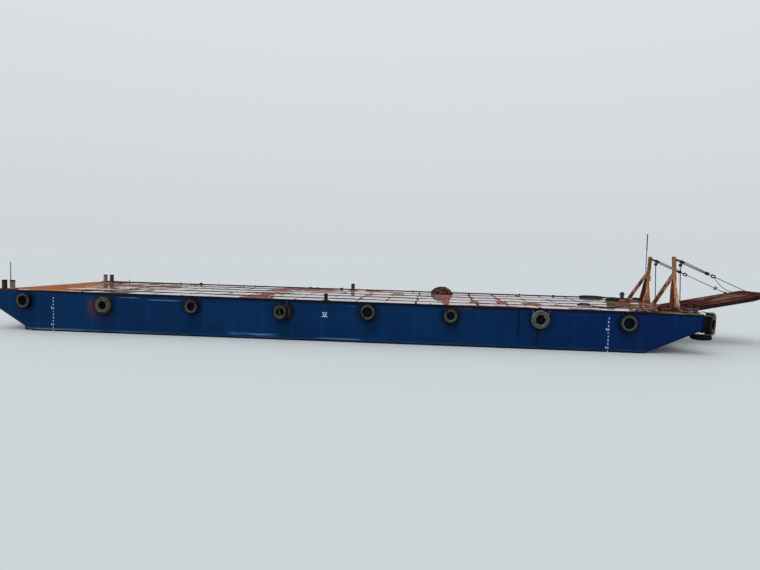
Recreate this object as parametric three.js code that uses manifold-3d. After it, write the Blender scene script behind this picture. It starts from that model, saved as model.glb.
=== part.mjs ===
// A river barge with a bow ramp, as a 1:2 scale model.
// Sizes below are the full-size barge's, in metres; modelScale turns them into model millimetres.
// X runs along the barge to the bow, Y to port, Z up; the origin is on the flat bottom, amidships.
import * as THREE from 'three';
import { mergeVertices } from 'three/addons/utils/BufferGeometryUtils.js';
import Module from 'manifold-3d';

const wasm = await Module();
wasm.setup();

const modelScale = 500;
const gap = 0.0006;

const hull = {
  halfLength: 20.8,
  halfBeam: 5.9,
  depth: 3.0,
  bilge: 0.22,
  bilgeSteps: 3,
  sternKnuckle: -17.4,
  sternChin: 2.0,
  bowKnuckle: 16.3,
  bowChin: 2.07,
};
const deck = { plate: 0.02, inset: 0.09 };
const skeg = { aft: -18.84, front: -17.62, outer: 5.66, thick: 0.1 };
const edgeBar = { width: 0.05, height: 0.06 };
const tyre = { width: 0.28, steps: 16 };
const topPlate = { lip: 0.012, thick: 0.02 };
const sternBitts = { post: 0.15, tall: 0.58, spread: 0.27, plate: [1.04, 0.42, 0.04] };
const bowBitts = { post: 0.13, tall: 0.52, spread: 0.255, plate: [0.86, 0.42, 0.03] };
const lowBollard = { post: 0.11, tall: 0.42, spread: 0, plate: [0.44, 0.44, 0.03] };
const tallBollard = { post: 0.14, tall: 0.49, spread: 0, plate: [0.5, 0.5, 0.03] };
const crossBollard = { ...tallBollard, cross: { reach: 0.22, height: 0.32, radius: 0.03 } };

// The ramp turns about a pin line on the sill, and rests raised by its wires.
const sill = { reach: 0.2, halfWidth: 2.72, bottom: 2.3 };
const hinge = {
  x: 21.12,
  z: 2.78,
  pin: 0.03,
  bore: 0.0315,
  knuckle: 0.06,
  knuckleHalf: 0.06,
  lug: 0.055,
  lugInner: 0.07,
  lugPlate: 0.03,
  rows: [-1.5, -0.5, 0.5, 1.5],
};
const ramp = {
  raised: THREE.MathUtils.degToRad(12.1),
  length: 5.78,
  halfWidth: 1.85,
  top: 0.09,
  plate: 0.02,
  depth: 0.24,
  tipDepth: 0.12,
  flange: 0.09,
  web: 0.03,
  lip: 0.3,
  lipDrop: 0.05,
  frameStart: 0.13,
  frameEnd: 5.46,
  taperStart: 4.38,
};
const rampFrame = {
  depth: 0.1,
  width: 0.08,
  crossAt: [0.13, 1.25, 2.4, 3.55, 4.35, 5.35],
  stringerAt: [-0.95, 0, 0.95],
};

// Posts, props and braces lean inboard: onDeck is their Y at the deck, lean the metres in for each metre up.
const post = {
  x: 20.725,
  deep: 0.18,
  wide: 0.2,
  top: 6.13,
  onDeck: 2.385,
  lean: 0.16,
  foot: 0.03,
  footBack: 0.4,
  footSides: [2.14, 2.7],
};
const prop = {
  halfWidth: 0.09,
  footReach: [0.27, 0.03],
  shoulder: 0.9,
  knee: 1.2,
  head: 1.66,
  onDeck: 2.58,
  lean: 0.26,
};
const brace = {
  halfWidth: 0.08,
  foot: [19.285, 19.535],
  head: [4.79, 5.17],
  plate: [19.1, 19.66],
  plateHalf: 0.18,
  onDeck: 2.2,
  lean: 0.0625,
};
const topEye = { x: 20.93, y: 1.92, z: 5.925 };
const rampEye = { along: 4.62, above: 0.1, pin: 0.03, y: 1.92 };
const eyeHalf = 0.02;
const wireSize = 0.012;
const pulleyBody = { cheek: 0.1, width: 0.1, flat: 0.04, neck: 0.03 };
const fallBlock = { x: 0.02, drop: 0.205, radius: 0.09, width: 0.08 };
const lead = { reach: 0.2, above: 0.12, top: 0.1, halfWidth: 0.05 };
const lightMast = { x: 20.73, y: 2.6, thin: 0.022, thinTop: 7.0, thick: 0.034, thickFrom: 6.6, top: 7.7 };
const sternPole = { x: -20.3, y: -5.02, radius: 0.02, top: 4.7 };

const paint = {
  hull: [0x0b2a5c, 0.55, 0.1],
  deck: [0x7a5a4c, 0.75, 0.2],
  rust: [0x6b4030, 0.85, 0.2],
  maroon: [0x5a2a24, 0.7, 0.2],
  ochre: [0xb9793a, 0.75, 0.2],
  darkRust: [0x5c2e1e, 0.85, 0.2],
  rubber: [0x2c2a28, 0.9, 0],
  mudRubber: [0x6a5f48, 0.95, 0],
  steelDark: [0x2a2826, 0.6, 0.6],
  galvanised: [0x9ca09f, 0.5, 0.7],
  rope: [0x5e564a, 0.95, 0],
};

const barge = new THREE.Group();

function toSolid(geometry) {
  const shape = geometry.clone();
  shape.deleteAttribute('normal');
  shape.deleteAttribute('uv');
  const merged = mergeVertices(shape, 1e-6);
  return new wasm.Manifold(new wasm.Mesh({
    numProp: 3,
    vertProperties: new Float32Array(merged.attributes.position.array),
    triVerts: new Uint32Array(merged.index.array),
  }));
}

function toGeometry(solid) {
  const mesh = solid.getMesh();
  const geometry = new THREE.BufferGeometry();
  geometry.setAttribute('position', new THREE.BufferAttribute(mesh.vertProperties, 3));
  geometry.setIndex(new THREE.BufferAttribute(mesh.triVerts, 1));
  return geometry;
}

function join(...geometries) {
  const [first, ...rest] = geometries.map(toSolid);
  return toGeometry(rest.reduce((sum, solid) => sum.add(solid), first));
}

function cut(geometry, ...tools) {
  const start = toSolid(geometry);
  return toGeometry(tools.map(toSolid).reduce((sum, solid) => sum.subtract(solid), start));
}

function place(name, finish, geometry) {
  const [color, roughness, metalness] = paint[finish];
  const shape = geometry.clone();
  shape.scale(modelScale, modelScale, modelScale);
  const mesh = new THREE.Mesh(shape, new THREE.MeshStandardMaterial({ color, roughness, metalness }));
  mesh.name = name;
  barge.add(mesh);
}

// A box given by its lowest and highest corners.
function block(low, high) {
  const size = high.map((value, axis) => value - low[axis]);
  const geometry = new THREE.BoxGeometry(...size);
  geometry.translate(...low.map((value, axis) => value + size[axis] / 2));
  return geometry;
}

// A round bar from one point to another.
function rod(from, to, radius, sides = 8) {
  const start = new THREE.Vector3(...from);
  const run = new THREE.Vector3(...to).sub(start);
  const geometry = new THREE.CylinderGeometry(radius, radius, run.length(), sides);
  geometry.translate(0, run.length() / 2, 0);
  const turn = new THREE.Quaternion().setFromUnitVectors(new THREE.Vector3(0, 1, 0), run.normalize());
  geometry.applyQuaternion(turn);
  geometry.translate(...from);
  return geometry;
}

function ordered(a, b) {
  return a < b ? [a, b] : [b, a];
}

// A flat outline in X and Z, given thickness along Y from yLow to yHigh.
function slab(outline, yLow, yHigh) {
  const shape = new THREE.Shape(outline.map(([x, z]) => new THREE.Vector2(x, z)));
  const geometry = new THREE.ExtrudeGeometry(shape, { depth: yHigh - yLow, bevelEnabled: false });
  geometry.rotateX(Math.PI / 2);
  geometry.translate(0, yHigh, 0);
  return geometry;
}

// A ring about the Y axis from a closed profile of [radius, y] points.
function ring(profile, steps) {
  const points = [...profile, profile[0]].map(([radius, y]) => new THREE.Vector2(radius, y));
  return new THREE.LatheGeometry(points, steps);
}

// The hull is a loft through four stations, each a box section with rounded bilges.
function hullSection(x, bottom) {
  const points = [[x, -hull.halfBeam, hull.depth - deck.plate], [x, hull.halfBeam, hull.depth - deck.plate]];
  for (const side of [1, -1]) {
    for (let step = 0; step <= hull.bilgeSteps; step += 1) {
      const share = side > 0 ? step : hull.bilgeSteps - step;
      const angle = share / hull.bilgeSteps * Math.PI / 2;
      points.push([
        x,
        side * (hull.halfBeam - hull.bilge * (1 - Math.cos(angle))),
        bottom + hull.bilge * (1 - Math.sin(angle)),
      ]);
    }
  }
  return points;
}

function hullShell() {
  const stations = [
    [-hull.halfLength, hull.sternChin],
    [hull.sternKnuckle, 0],
    [hull.bowKnuckle, 0],
    [hull.halfLength, hull.bowChin],
  ].map(([x, bottom]) => hullSection(x, bottom));
  const around = stations[0].length;
  const index = [];
  for (let station = 0; station < stations.length - 1; station += 1) {
    for (let corner = 0; corner < around; corner += 1) {
      const here = station * around + corner;
      const next = station * around + (corner + 1) % around;
      index.push(here, here + around, next, next, here + around, next + around);
    }
  }
  const last = (stations.length - 1) * around;
  for (let corner = 1; corner < around - 1; corner += 1) {
    index.push(0, corner, corner + 1);
    index.push(last, last + corner + 1, last + corner);
  }
  const geometry = new THREE.BufferGeometry();
  geometry.setAttribute('position', new THREE.Float32BufferAttribute(stations.flat(2), 3));
  geometry.setIndex(index);
  return geometry;
}

function addHull() {
  place('hull', 'hull', hullShell());
  const inner = hull.halfBeam - deck.inset;
  place('deck_plating', 'deck', block(
    [-hull.halfLength, -inner, hull.depth - deck.plate],
    [hull.halfLength, inner, hull.depth],
  ));
  for (const [name, side] of [['starboard', -1], ['port', 1]]) {
    const edges = ordered(side * (hull.halfBeam - gap), side * (hull.halfBeam - edgeBar.width));
    const base = hull.depth - deck.plate;
    place(`edge_bar_${name}`, 'rust', block(
      [-hull.halfLength, edges[0], base],
      [hull.halfLength, edges[1], base + edgeBar.height],
    ));
  }
}

// Twin skegs fill the corner between the stern rake and the bottom's level.
function addSkegs() {
  const slope = hull.sternChin / (hull.sternKnuckle + hull.halfLength);
  const underRake = (x) => (hull.sternKnuckle - x) * slope - gap;
  for (const [name, side] of [['starboard', -1], ['port', 1]]) {
    const faces = ordered(side * skeg.outer, side * (skeg.outer - skeg.thick));
    place(`skeg_${name}`, 'hull', slab([
      [skeg.aft, underRake(skeg.aft)],
      [skeg.aft, 0],
      [skeg.front, 0],
      [skeg.front, underRake(skeg.front)],
    ], ...faces));
  }
}

// Mooring posts: [name, x, y, kind]
const mooring = [
  ['bitts_stern_starboard', -20.22, -5.3, sternBitts],
  ['bitts_stern_port', -20.22, 5.3, sternBitts],
  ['bitts_bow_starboard', 20.36, -5.3, bowBitts],
  ['bollard_bow_port', 20.1, 5.3, crossBollard],
  ['bollard_mid_starboard', 0.02, -5.55, lowBollard],
  ['bollard_mid_port', -0.03, 5.1, tallBollard],
];

function addMooring() {
  for (const [name, x, y, kind] of mooring) {
    const [long, wide, thick] = kind.plate;
    const base = block(
      [x - long / 2, y - wide / 2, hull.depth],
      [x + long / 2, y + wide / 2, hull.depth + thick],
    );
    const top = hull.depth + kind.tall;
    const posts = kind.spread ? [x - kind.spread, x + kind.spread] : [x];
    const parts = posts.flatMap((at) => [
      rod([at, y, hull.depth + thick / 2], [at, y, top - topPlate.thick / 2], kind.post, 16),
      rod([at, y, top - topPlate.thick], [at, y, top], kind.post + topPlate.lip, 16),
    ]);
    if (kind.cross) {
      const z = hull.depth + kind.cross.height;
      parts.push(rod([x - kind.cross.reach, y, z], [x + kind.cross.reach, y, z], kind.cross.radius, 8));
    }
    place(name, 'maroon', join(base, ...parts));
  }
}

// A tyre about the Y axis, from its bead round its tread.
function tyreRing(radius, hole, width = tyre.width) {
  const half = width / 2;
  return ring([
    [hole, -half * 0.7],
    [radius * 0.8, -half],
    [radius, -half * 0.64],
    [radius, half * 0.64],
    [radius * 0.8, half],
    [hole, half * 0.7],
    [(hole + radius) / 2, 0],
  ], tyre.steps);
}

// Side tyres on each side: [x, z, radius, hole]
const sideTyres = [
  [-18.62, 2.4, 0.48, 0.3],
  [-13.48, 2.29, 0.52, 0.26],
  [-7.94, 2.42, 0.48, 0.25],
  [-2.48, 2.33, 0.48, 0.25],
  [2.56, 2.47, 0.47, 0.29],
  [7.26, 2.44, 0.47, 0.24],
  [12.2, 2.41, 0.51, 0.27],
  [16.9, 2.39, 0.48, 0.3],
];
const muddyTyre = 1;
// One side tyre hangs over a second that lies against the hull.
const doubled = { number: 3, shift: 0.18, squeeze: 0.01 };
// Two tyres are lashed face to face across each bow corner, and one lies flat under them.
const bowStack = {
  radius: 0.62,
  hole: 0.33,
  width: 0.21,
  squeeze: 0.01,
  z: 2.47,
  along: 0.49,
  turn: THREE.MathUtils.degToRad(37),
};
const lowTyre = { radius: 0.55, hole: 0.28, x: 20.93, y: 5.4, z: 1.7108 };

function addTyres() {
  const out = hull.halfBeam + gap + tyre.width / 2;
  for (const [name, side] of [['starboard', -1], ['port', 1]]) {
    sideTyres.forEach(([x, z, radius, hole], number) => {
      const two = number === doubled.number;
      const inner = tyreRing(radius, hole);
      inner.translate(two ? x + doubled.shift : x, side * out, z);
      const outer = tyreRing(radius, hole);
      outer.translate(x, side * (out + tyre.width - doubled.squeeze), z);
      const finish = number === muddyTyre ? 'mudRubber' : 'rubber';
      place(`tyre_${name}_${number + 1}`, finish, two ? join(inner, outer) : inner);
    });
    addBowTyres(name, side);
  }
}

function addBowTyres(name, side) {
  const pair = [0, 1].map((number) => {
    const shape = tyreRing(bowStack.radius, bowStack.hole, bowStack.width);
    const out = gap + bowStack.width / 2 + number * (bowStack.width - bowStack.squeeze);
    shape.translate(side * bowStack.along, out, 0);
    shape.rotateZ(side > 0 ? bowStack.turn - Math.PI / 2 : -bowStack.turn - Math.PI / 2);
    shape.translate(hull.halfLength, side * hull.halfBeam, bowStack.z);
    return shape;
  });
  place(`tyre_stack_bow_${name}`, 'rubber', join(...pair));

  const low = tyreRing(lowTyre.radius, lowTyre.hole);
  low.rotateX(Math.PI / 2);
  low.translate(lowTyre.x, side * lowTyre.y, lowTyre.z);
  place(`tyre_low_bow_${name}`, 'rubber', low);
}

// The sill carries the hinge lugs and their pins.
function addSill() {
  const front = hull.halfLength + sill.reach;
  const parts = [block(
    [hull.halfLength, -sill.halfWidth, sill.bottom],
    [front, sill.halfWidth, hull.depth],
  )];
  for (const y of hinge.rows) {
    for (const side of [-1, 1]) {
      const inner = y + side * hinge.lugInner;
      const faces = ordered(inner, inner + side * hinge.lugPlate);
      parts.push(slab([
        [front - 0.05, hinge.z - 0.16],
        [hinge.x, hinge.z - hinge.lug],
        [hinge.x + hinge.lug, hinge.z - 0.02],
        [hinge.x + hinge.lug, hinge.z + 0.02],
        [hinge.x + 0.02, hinge.z + hinge.lug],
        [hinge.x - 0.02, hinge.z + hinge.lug],
        [hinge.x - 0.06, hinge.z + 0.02],
        [front - 0.05, hinge.z + 0.02],
      ], ...faces));
    }
    const reach = hinge.lugInner + hinge.lugPlate + 0.02;
    parts.push(rod([hinge.x, y - reach, hinge.z], [hinge.x, y + reach, hinge.z], hinge.pin, 24));
  }
  place('bow_sill', 'rust', join(...parts));
}

// Ramp pieces are drawn level, from the hinge out, then raised about the hinge.
function raise(geometry) {
  geometry.rotateY(-ramp.raised);
  geometry.translate(hinge.x, 0, hinge.z);
  return geometry;
}

function girderOutline() {
  const low = ramp.top - ramp.depth;
  return [
    [ramp.frameStart, ramp.top],
    [ramp.frameStart, low],
    [ramp.taperStart, low],
    [ramp.frameEnd, ramp.top - ramp.tipDepth],
    [ramp.frameEnd, ramp.top],
  ];
}

function addRampPlate() {
  const edge = ramp.halfWidth - ramp.web - gap;
  const under = ramp.top - ramp.plate;
  const plate = slab([
    [-0.02, under],
    [ramp.length - ramp.lip, under],
    [ramp.length, under - ramp.lipDrop],
    [ramp.length, ramp.top - ramp.lipDrop],
    [ramp.length - ramp.lip, ramp.top],
    [-0.02, ramp.top],
  ], -edge, edge);
  place('ramp_plate', 'rust', raise(plate));
}

// A girder is a channel, with a lug and a pin outboard for its tackle.
function addGirder(name, side) {
  const outer = side * ramp.halfWidth;
  const low = ramp.top - ramp.depth;
  const under = ramp.top - ramp.plate - gap;
  const webFaces = ordered(outer, outer - side * ramp.web);
  const [flangeLow, flangeHigh] = ordered(outer - side * 0.01, outer - side * ramp.flange);
  const girder = join(
    slab(girderOutline(), ...webFaces),
    block([ramp.frameStart, flangeLow, low], [ramp.taperStart, flangeHigh, low + ramp.plate]),
    block([ramp.frameStart, flangeLow, under - ramp.plate], [ramp.frameEnd, flangeHigh, under]),
    slab([
      [rampEye.along - 0.16, ramp.top - 0.14],
      [rampEye.along + 0.16, ramp.top - 0.14],
      [rampEye.along + 0.06, rampEye.above + 0.06],
      [rampEye.along - 0.06, rampEye.above + 0.06],
    ], ...webFaces),
    rod(
      [rampEye.along, outer - side * 0.02, rampEye.above],
      [rampEye.along, side * (rampEye.y - eyeHalf - gap), rampEye.above],
      rampEye.pin,
      12,
    ),
  );
  place(`ramp_girder_${name}`, 'darkRust', raise(girder));
}

function addUnderframe() {
  const inner = ramp.halfWidth - ramp.flange - gap;
  const high = ramp.top - ramp.plate - gap;
  const low = high - rampFrame.depth;
  const half = rampFrame.width / 2;
  const knuckle = hinge.knuckleHalf;
  const bars = rampFrame.crossAt.map((x) => block([x, -inner, low], [x + rampFrame.width, inner, high]));
  const stringers = rampFrame.stringerAt.map((y) => (
    block([ramp.frameStart, y - half, low], [ramp.frameEnd, y + half, high])
  ));
  const knuckles = hinge.rows.flatMap((y) => [
    rod([0, y - knuckle, 0], [0, y + knuckle, 0], hinge.knuckle, 24),
    block([0, y - knuckle, -0.05], [0.2, y + knuckle, 0.05]),
  ]);
  const bores = hinge.rows.map((y) => rod([0, y - 0.1, 0], [0, y + 0.1, 0], hinge.bore, 24));
  place('ramp_underframe', 'darkRust', raise(cut(join(...bars, ...stringers, ...knuckles), ...bores)));
}

function addRamp() {
  addRampPlate();
  addUnderframe();
  for (const [name, side] of [['starboard', -1], ['port', 1]]) {
    addGirder(name, side);
  }
}

// Moves an upright shape to its side of the barge and leans it inboard.
function leanIn(geometry, side, { onDeck, lean }) {
  const points = geometry.attributes.position;
  for (let corner = 0; corner < points.count; corner += 1) {
    const inboard = lean * (points.getZ(corner) - hull.depth);
    points.setY(corner, points.getY(corner) + side * (onDeck - inboard));
  }
  return geometry;
}

// Each ramp post is a leaning column with a forward gusset and a plate for the tackle's eye.
function addPost(name, side) {
  const back = post.x - post.deep / 2;
  const front = post.x + post.deep / 2 - 0.02;
  const base = hull.depth;
  const inside = base + 0.01;
  const y = side * topEye.y;
  const [plateLow, plateHigh] = ordered(side * post.footSides[0], side * post.footSides[1]);
  place(`ramp_post_${name}`, 'ochre', join(
    block(
      [post.x - post.footBack, plateLow, base],
      [hull.halfLength + sill.reach, plateHigh, base + post.foot],
    ),
    leanIn(block([back, -post.wide / 2, inside], [back + post.deep, post.wide / 2, post.top]), side, post),
    leanIn(slab([
      [front, inside],
      [front + 0.24, inside],
      [front + 0.15, base + 0.5],
      [front, base + 1.5],
    ], -0.085, 0.085), side, post),
    slab([
      [front, topEye.z - 0.12],
      [topEye.x, topEye.z - 0.07],
      [topEye.x + 0.05, topEye.z],
      [topEye.x, topEye.z + 0.06],
      [front, topEye.z + 0.1],
    ], y - 0.015, y + 0.015),
    rod([topEye.x, y - 0.07, topEye.z], [topEye.x, y + 0.07, topEye.z], hinge.pin, 12),
  ));
}

// A short leg props the post from behind, and a long brace stays it from farther aft.
function addStays(name, side) {
  const back = post.x - post.deep / 2 - gap;
  const foot = hull.depth + post.foot;
  place(`post_prop_${name}`, 'maroon', leanIn(slab([
    [back - prop.footReach[0], foot + gap],
    [back - prop.footReach[1], foot + gap],
    [back, foot + prop.shoulder],
    [back, foot + prop.head],
    [back - 0.04, foot + prop.head],
    [back - 0.14, foot + prop.knee],
  ], -prop.halfWidth, prop.halfWidth), side, prop));

  const leg = leanIn(slab([
    [brace.foot[0], hull.depth],
    [brace.foot[1], hull.depth],
    [back, brace.head[0]],
    [back, brace.head[1]],
  ], -brace.halfWidth, brace.halfWidth), side, brace);
  const y = side * brace.onDeck;
  const plate = block(
    [brace.plate[0], y - brace.plateHalf, hull.depth],
    [brace.plate[1], y + brace.plateHalf, hull.depth + post.foot],
  );
  place(`post_brace_${name}`, 'ochre', join(leg, plate));
}

function addPosts() {
  for (const [name, side] of [['starboard', -1], ['port', 1]]) {
    addPost(name, side);
    addStays(name, side);
  }
}

function poleFoot(x, y, z) {
  return block([x - 0.05, y - 0.05, z], [x + 0.05, y + 0.05, z + 0.02]);
}

function addPoles() {
  const { x, y } = lightMast;
  const plate = hull.depth + post.foot + gap;
  place('light_mast', 'galvanised', join(
    rod([x, y, plate], [x, y, lightMast.thinTop], lightMast.thin, 8),
    rod([x, y, lightMast.thickFrom], [x, y, lightMast.top], lightMast.thick, 8),
    poleFoot(x, y, plate),
  ));
  const at = [sternPole.x, sternPole.y];
  place('stern_pole', 'galvanised', join(
    rod([...at, hull.depth], [...at, sternPole.top], sternPole.radius, 8),
    poleFoot(...at, hull.depth),
  ));
}

// A block's body, drawn about the origin with its line along X.
function pulley(length, x) {
  const { cheek, width, flat, neck } = pulleyBody;
  const body = slab([
    [-length, -neck],
    [-flat, -cheek],
    [flat, -cheek],
    [length, -neck],
    [length, neck],
    [flat, cheek],
    [-flat, cheek],
    [-length, neck],
  ], -width / 2, width / 2);
  body.translate(x, 0, 0);
  return body;
}

// The tackle runs in a straight line from the post's eye to the ramp's eye.
const eyeOnRamp = new THREE.Vector2(rampEye.along, rampEye.above)
  .rotateAround(new THREE.Vector2(0, 0), ramp.raised)
  .add(new THREE.Vector2(hinge.x, hinge.z));
const line = eyeOnRamp.clone().sub(new THREE.Vector2(topEye.x, topEye.z));
const lineLength = line.length();
const lineSlope = Math.atan2(line.y, line.x);
// Places along that line, from the post's eye, and each block's half length.
const tackle = { upper: 0.27, lower: 1.9, ringBlock: 2.29, spread: [0.07, 0.035] };
const blockLength = { upper: 0.15, lower: 0.13, ring: 0.13 };

function lay(geometry, y) {
  geometry.rotateY(-lineSlope);
  geometry.translate(topEye.x, y, topEye.z);
  return geometry;
}

// The upper block hangs by a forked link on the pin of the post's eye, with the fall's block under it.
function addHead(name, y) {
  const arms = [-1, 1].map((hand) => {
    const faces = ordered(hand * 0.02, hand * 0.056);
    return block([-0.05, faces[0], -0.05], [0.19, faces[1], 0.05]);
  });
  const under = [tackle.upper + fallBlock.x, -fallBlock.drop];
  const head = join(
    pulley(blockLength.upper, tackle.upper),
    block([0.125, -0.06, -0.035], [0.17, 0.06, 0.035]),
    rod([tackle.upper, 0, -0.01], [under[0], 0, under[1]], 0.027, 10),
    rod([under[0], -fallBlock.width / 2, under[1]], [under[0], fallBlock.width / 2, under[1]], fallBlock.radius, 14),
    ...arms,
  );
  const bore = rod([0, -0.1, 0], [0, 0.1, 0], hinge.bore, 24);
  place(`tackle_head_${name}`, 'steelDark', lay(cut(head, bore), y));
}

// The lower block, its ring block, the pendant and the eye move together along the line.
function addFoot(name, y) {
  const foot = join(
    pulley(blockLength.lower, tackle.lower),
    rod([tackle.lower, 0, 0], [tackle.ringBlock, 0, 0], 0.02, 8),
    pulley(blockLength.ring, tackle.ringBlock),
    rod([tackle.ringBlock, 0, 0], [lineLength - 0.08, 0, 0], wireSize, 8),
    rod([lineLength - 0.2, 0, 0], [lineLength - 0.05, 0, 0], 0.018, 8),
    rod([lineLength, -eyeHalf, 0], [lineLength, eyeHalf, 0], 0.07, 16),
  );
  place(`tackle_foot_${name}`, 'steelDark', lay(foot, y));
}

function addWires(name, y) {
  const from = tackle.upper + blockLength.upper + gap;
  const to = tackle.lower - blockLength.lower - gap;
  const wires = [-1, 0, 1].map((row) => (
    rod([from, 0, row * tackle.spread[0]], [to, 0, row * tackle.spread[1]], wireSize, 6)
  ));
  const bar = block([from, -wireSize, -0.075], [from + 0.03, wireSize, 0.075]);
  place(`tackle_wires_${name}`, 'steelDark', lay(join(...wires, bar), y));
}

// The hauling part drops from the upper block to a lead sheave on the sill.
function addFall(name, y) {
  const front = hull.halfLength + sill.reach;
  const x = front + lead.reach;
  const z = hull.depth + lead.above;
  const top = z + lead.top;
  place(`fall_lead_${name}`, 'steelDark', slab([
    [front, hull.depth - 0.25],
    [x, hull.depth - 0.05],
    [x + 0.1, z],
    [x + 0.03, top],
    [x - 0.05, top],
    [front, z - 0.03],
  ], y - lead.halfWidth, y + lead.halfWidth));
  const under = new THREE.Vector2(tackle.upper + fallBlock.x, -fallBlock.drop)
    .rotateAround(new THREE.Vector2(0, 0), lineSlope)
    .add(new THREE.Vector2(topEye.x, topEye.z));
  const high = under.y - fallBlock.radius - 0.02;
  place(`fall_wire_${name}`, 'steelDark', rod([x, y, top + gap], [under.x, y, high], wireSize, 6));
}

function addTackles() {
  for (const [name, side] of [['starboard', -1], ['port', 1]]) {
    const y = side * topEye.y;
    addHead(name, y);
    addFoot(name, y);
    addWires(name, y);
    addFall(name, y);
  }
}

// Rope that lies coiled on the deck: [name, x, y, outer radius, inner radius, height]
const coils = [
  ['rope_heap', 6.8, 4.0, 0.85, 0.28, 0.45],
  ['rope_pile_bow', 18.6, 2.6, 0.5, 0.2, 0.22],
  ['rope_coil_bow', 17.2, -1.8, 0.27, 0.1, 0.24],
];

function addCoils() {
  for (const [name, x, y, outer, inner, tall] of coils) {
    const shape = ring([
      [inner, 0],
      [outer, 0],
      [outer, tall * 0.45],
      [(outer + inner) / 2 + 0.08, tall],
      [(outer + inner) / 2 - 0.08, tall],
      [inner, tall * 0.6],
    ], 24);
    shape.rotateX(Math.PI / 2);
    shape.translate(x, y, hull.depth + gap);
    place(name, 'rope', shape);
  }
}

addHull();
addSkegs();
addMooring();
addTyres();
addSill();
addRamp();
addPosts();
addPoles();
addTackles();
addCoils();

export default barge;
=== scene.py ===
import math

import bmesh
import bpy
import numpy as np
from mathutils import Matrix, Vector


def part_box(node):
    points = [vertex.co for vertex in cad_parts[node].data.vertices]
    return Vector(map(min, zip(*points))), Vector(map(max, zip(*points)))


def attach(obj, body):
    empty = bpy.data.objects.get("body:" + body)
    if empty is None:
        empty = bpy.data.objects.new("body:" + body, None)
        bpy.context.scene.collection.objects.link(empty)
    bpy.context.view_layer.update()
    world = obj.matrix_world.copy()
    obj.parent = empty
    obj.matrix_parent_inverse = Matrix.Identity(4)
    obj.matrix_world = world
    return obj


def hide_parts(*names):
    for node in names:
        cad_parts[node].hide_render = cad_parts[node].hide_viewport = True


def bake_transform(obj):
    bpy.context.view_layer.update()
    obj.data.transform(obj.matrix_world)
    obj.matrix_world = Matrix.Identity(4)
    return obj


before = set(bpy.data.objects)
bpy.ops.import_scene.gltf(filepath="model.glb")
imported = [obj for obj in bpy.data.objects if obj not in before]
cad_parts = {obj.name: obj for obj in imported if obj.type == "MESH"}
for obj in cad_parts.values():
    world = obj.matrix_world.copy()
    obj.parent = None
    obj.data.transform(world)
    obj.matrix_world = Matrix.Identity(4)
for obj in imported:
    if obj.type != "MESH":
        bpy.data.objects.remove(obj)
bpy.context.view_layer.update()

# Every size below is the real barge's, in metres; the part is half as large.
modelScale = 0.5
barge = {
    "halfLength": 20.8,
    "halfBeam": 5.9,
    "deckZ": 3.0,
    "waterline": 0.6758,
    "trim": 0.0053,
    "trimFrom": 3.2,
}
partGap = 0.0006
sides = [("starboard", -1), ("port", 1)]


def waterAt(x):
    return barge["waterline"] + barge["trim"] * (x - barge["trimFrom"])


def unit(vector):
    vector = np.asarray(vector, float)
    return vector / np.linalg.norm(vector, axis=-1, keepdims=True)


cameraView = {
    "place": (6.457, -37.267, 5.689),
    "yaw": 5.929,
    "pitch": 2.967,
    "roll": 1.233,
    "lens": 26.2,
    "sensor": 36.0,
}


# The barge floats trimmed by the bow, so the camera's level is tilted against its decks.
def addCamera():
    yaw, pitch, roll = (math.radians(cameraView[key]) for key in ("yaw", "pitch", "roll"))
    up = unit([-barge["trim"], 0, 1])
    ahead = np.array([-math.sin(yaw), math.cos(yaw), 0])
    ahead = unit(ahead - up * (ahead @ up))
    right = np.cross(ahead, up)
    view = math.cos(pitch) * ahead - math.sin(pitch) * up
    top = np.cross(right, view)
    across = math.cos(roll) * right + math.sin(roll) * top
    upward = math.cos(roll) * top - math.sin(roll) * right
    data = bpy.data.cameras.new("camera")
    data.lens = cameraView["lens"]
    data.sensor_width = cameraView["sensor"]
    data.sensor_fit = "HORIZONTAL"
    data.clip_end = 5000
    camera = bpy.data.objects.new("camera", data)
    bpy.context.scene.collection.objects.link(camera)
    turn = Matrix(np.column_stack([across, upward, -view]).tolist()).to_4x4()
    turn.translation = np.array(cameraView["place"]) * modelScale
    camera.matrix_world = turn
    bpy.context.scene.camera = camera


# A shader socket that adds and multiplies as a number does.
class Wire:
    def __init__(self, paint, socket):
        self.paint = paint
        self.socket = socket

    def maths(self, operation, *others, flipped=False):
        values = [*others, self] if flipped else [self, *others]
        return self.paint.node("ShaderNodeMath", {"operation": operation}, dict(enumerate(values)))

    def __add__(self, other):
        return self.maths("ADD", other)

    __radd__ = __add__

    def __sub__(self, other):
        return self.maths("SUBTRACT", other)

    def __rsub__(self, other):
        return self.maths("SUBTRACT", other, flipped=True)

    def __mul__(self, other):
        return self.maths("MULTIPLY", other)

    __rmul__ = __mul__

    def __truediv__(self, other):
        return self.maths("DIVIDE", other)

    def __abs__(self):
        return self.maths("ABSOLUTE")

    # From 0 to 1 as the value goes from low to high, with soft ends.
    def step(self, low, high):
        settings = {"interpolation_type": "SMOOTHSTEP"}
        if low > high:
            return 1 - self.step(high, low)
        return self.paint.node("ShaderNodeMapRange", settings, {0: self, 1: low, 2: high})

    # 1 within half a width of a value, and 0 beyond it, with soft ends.
    def band(self, middle, half, soft):
        return abs(self - middle).step(half + soft, half)


def tint(code):
    parts = [int(code[k:k + 2], 16) / 255 for k in (0, 2, 4)]
    linear = [p / 12.92 if p <= 0.04045 else ((p + 0.055) / 1.055) ** 2.4 for p in parts]
    return (*linear, 1.0)


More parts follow.
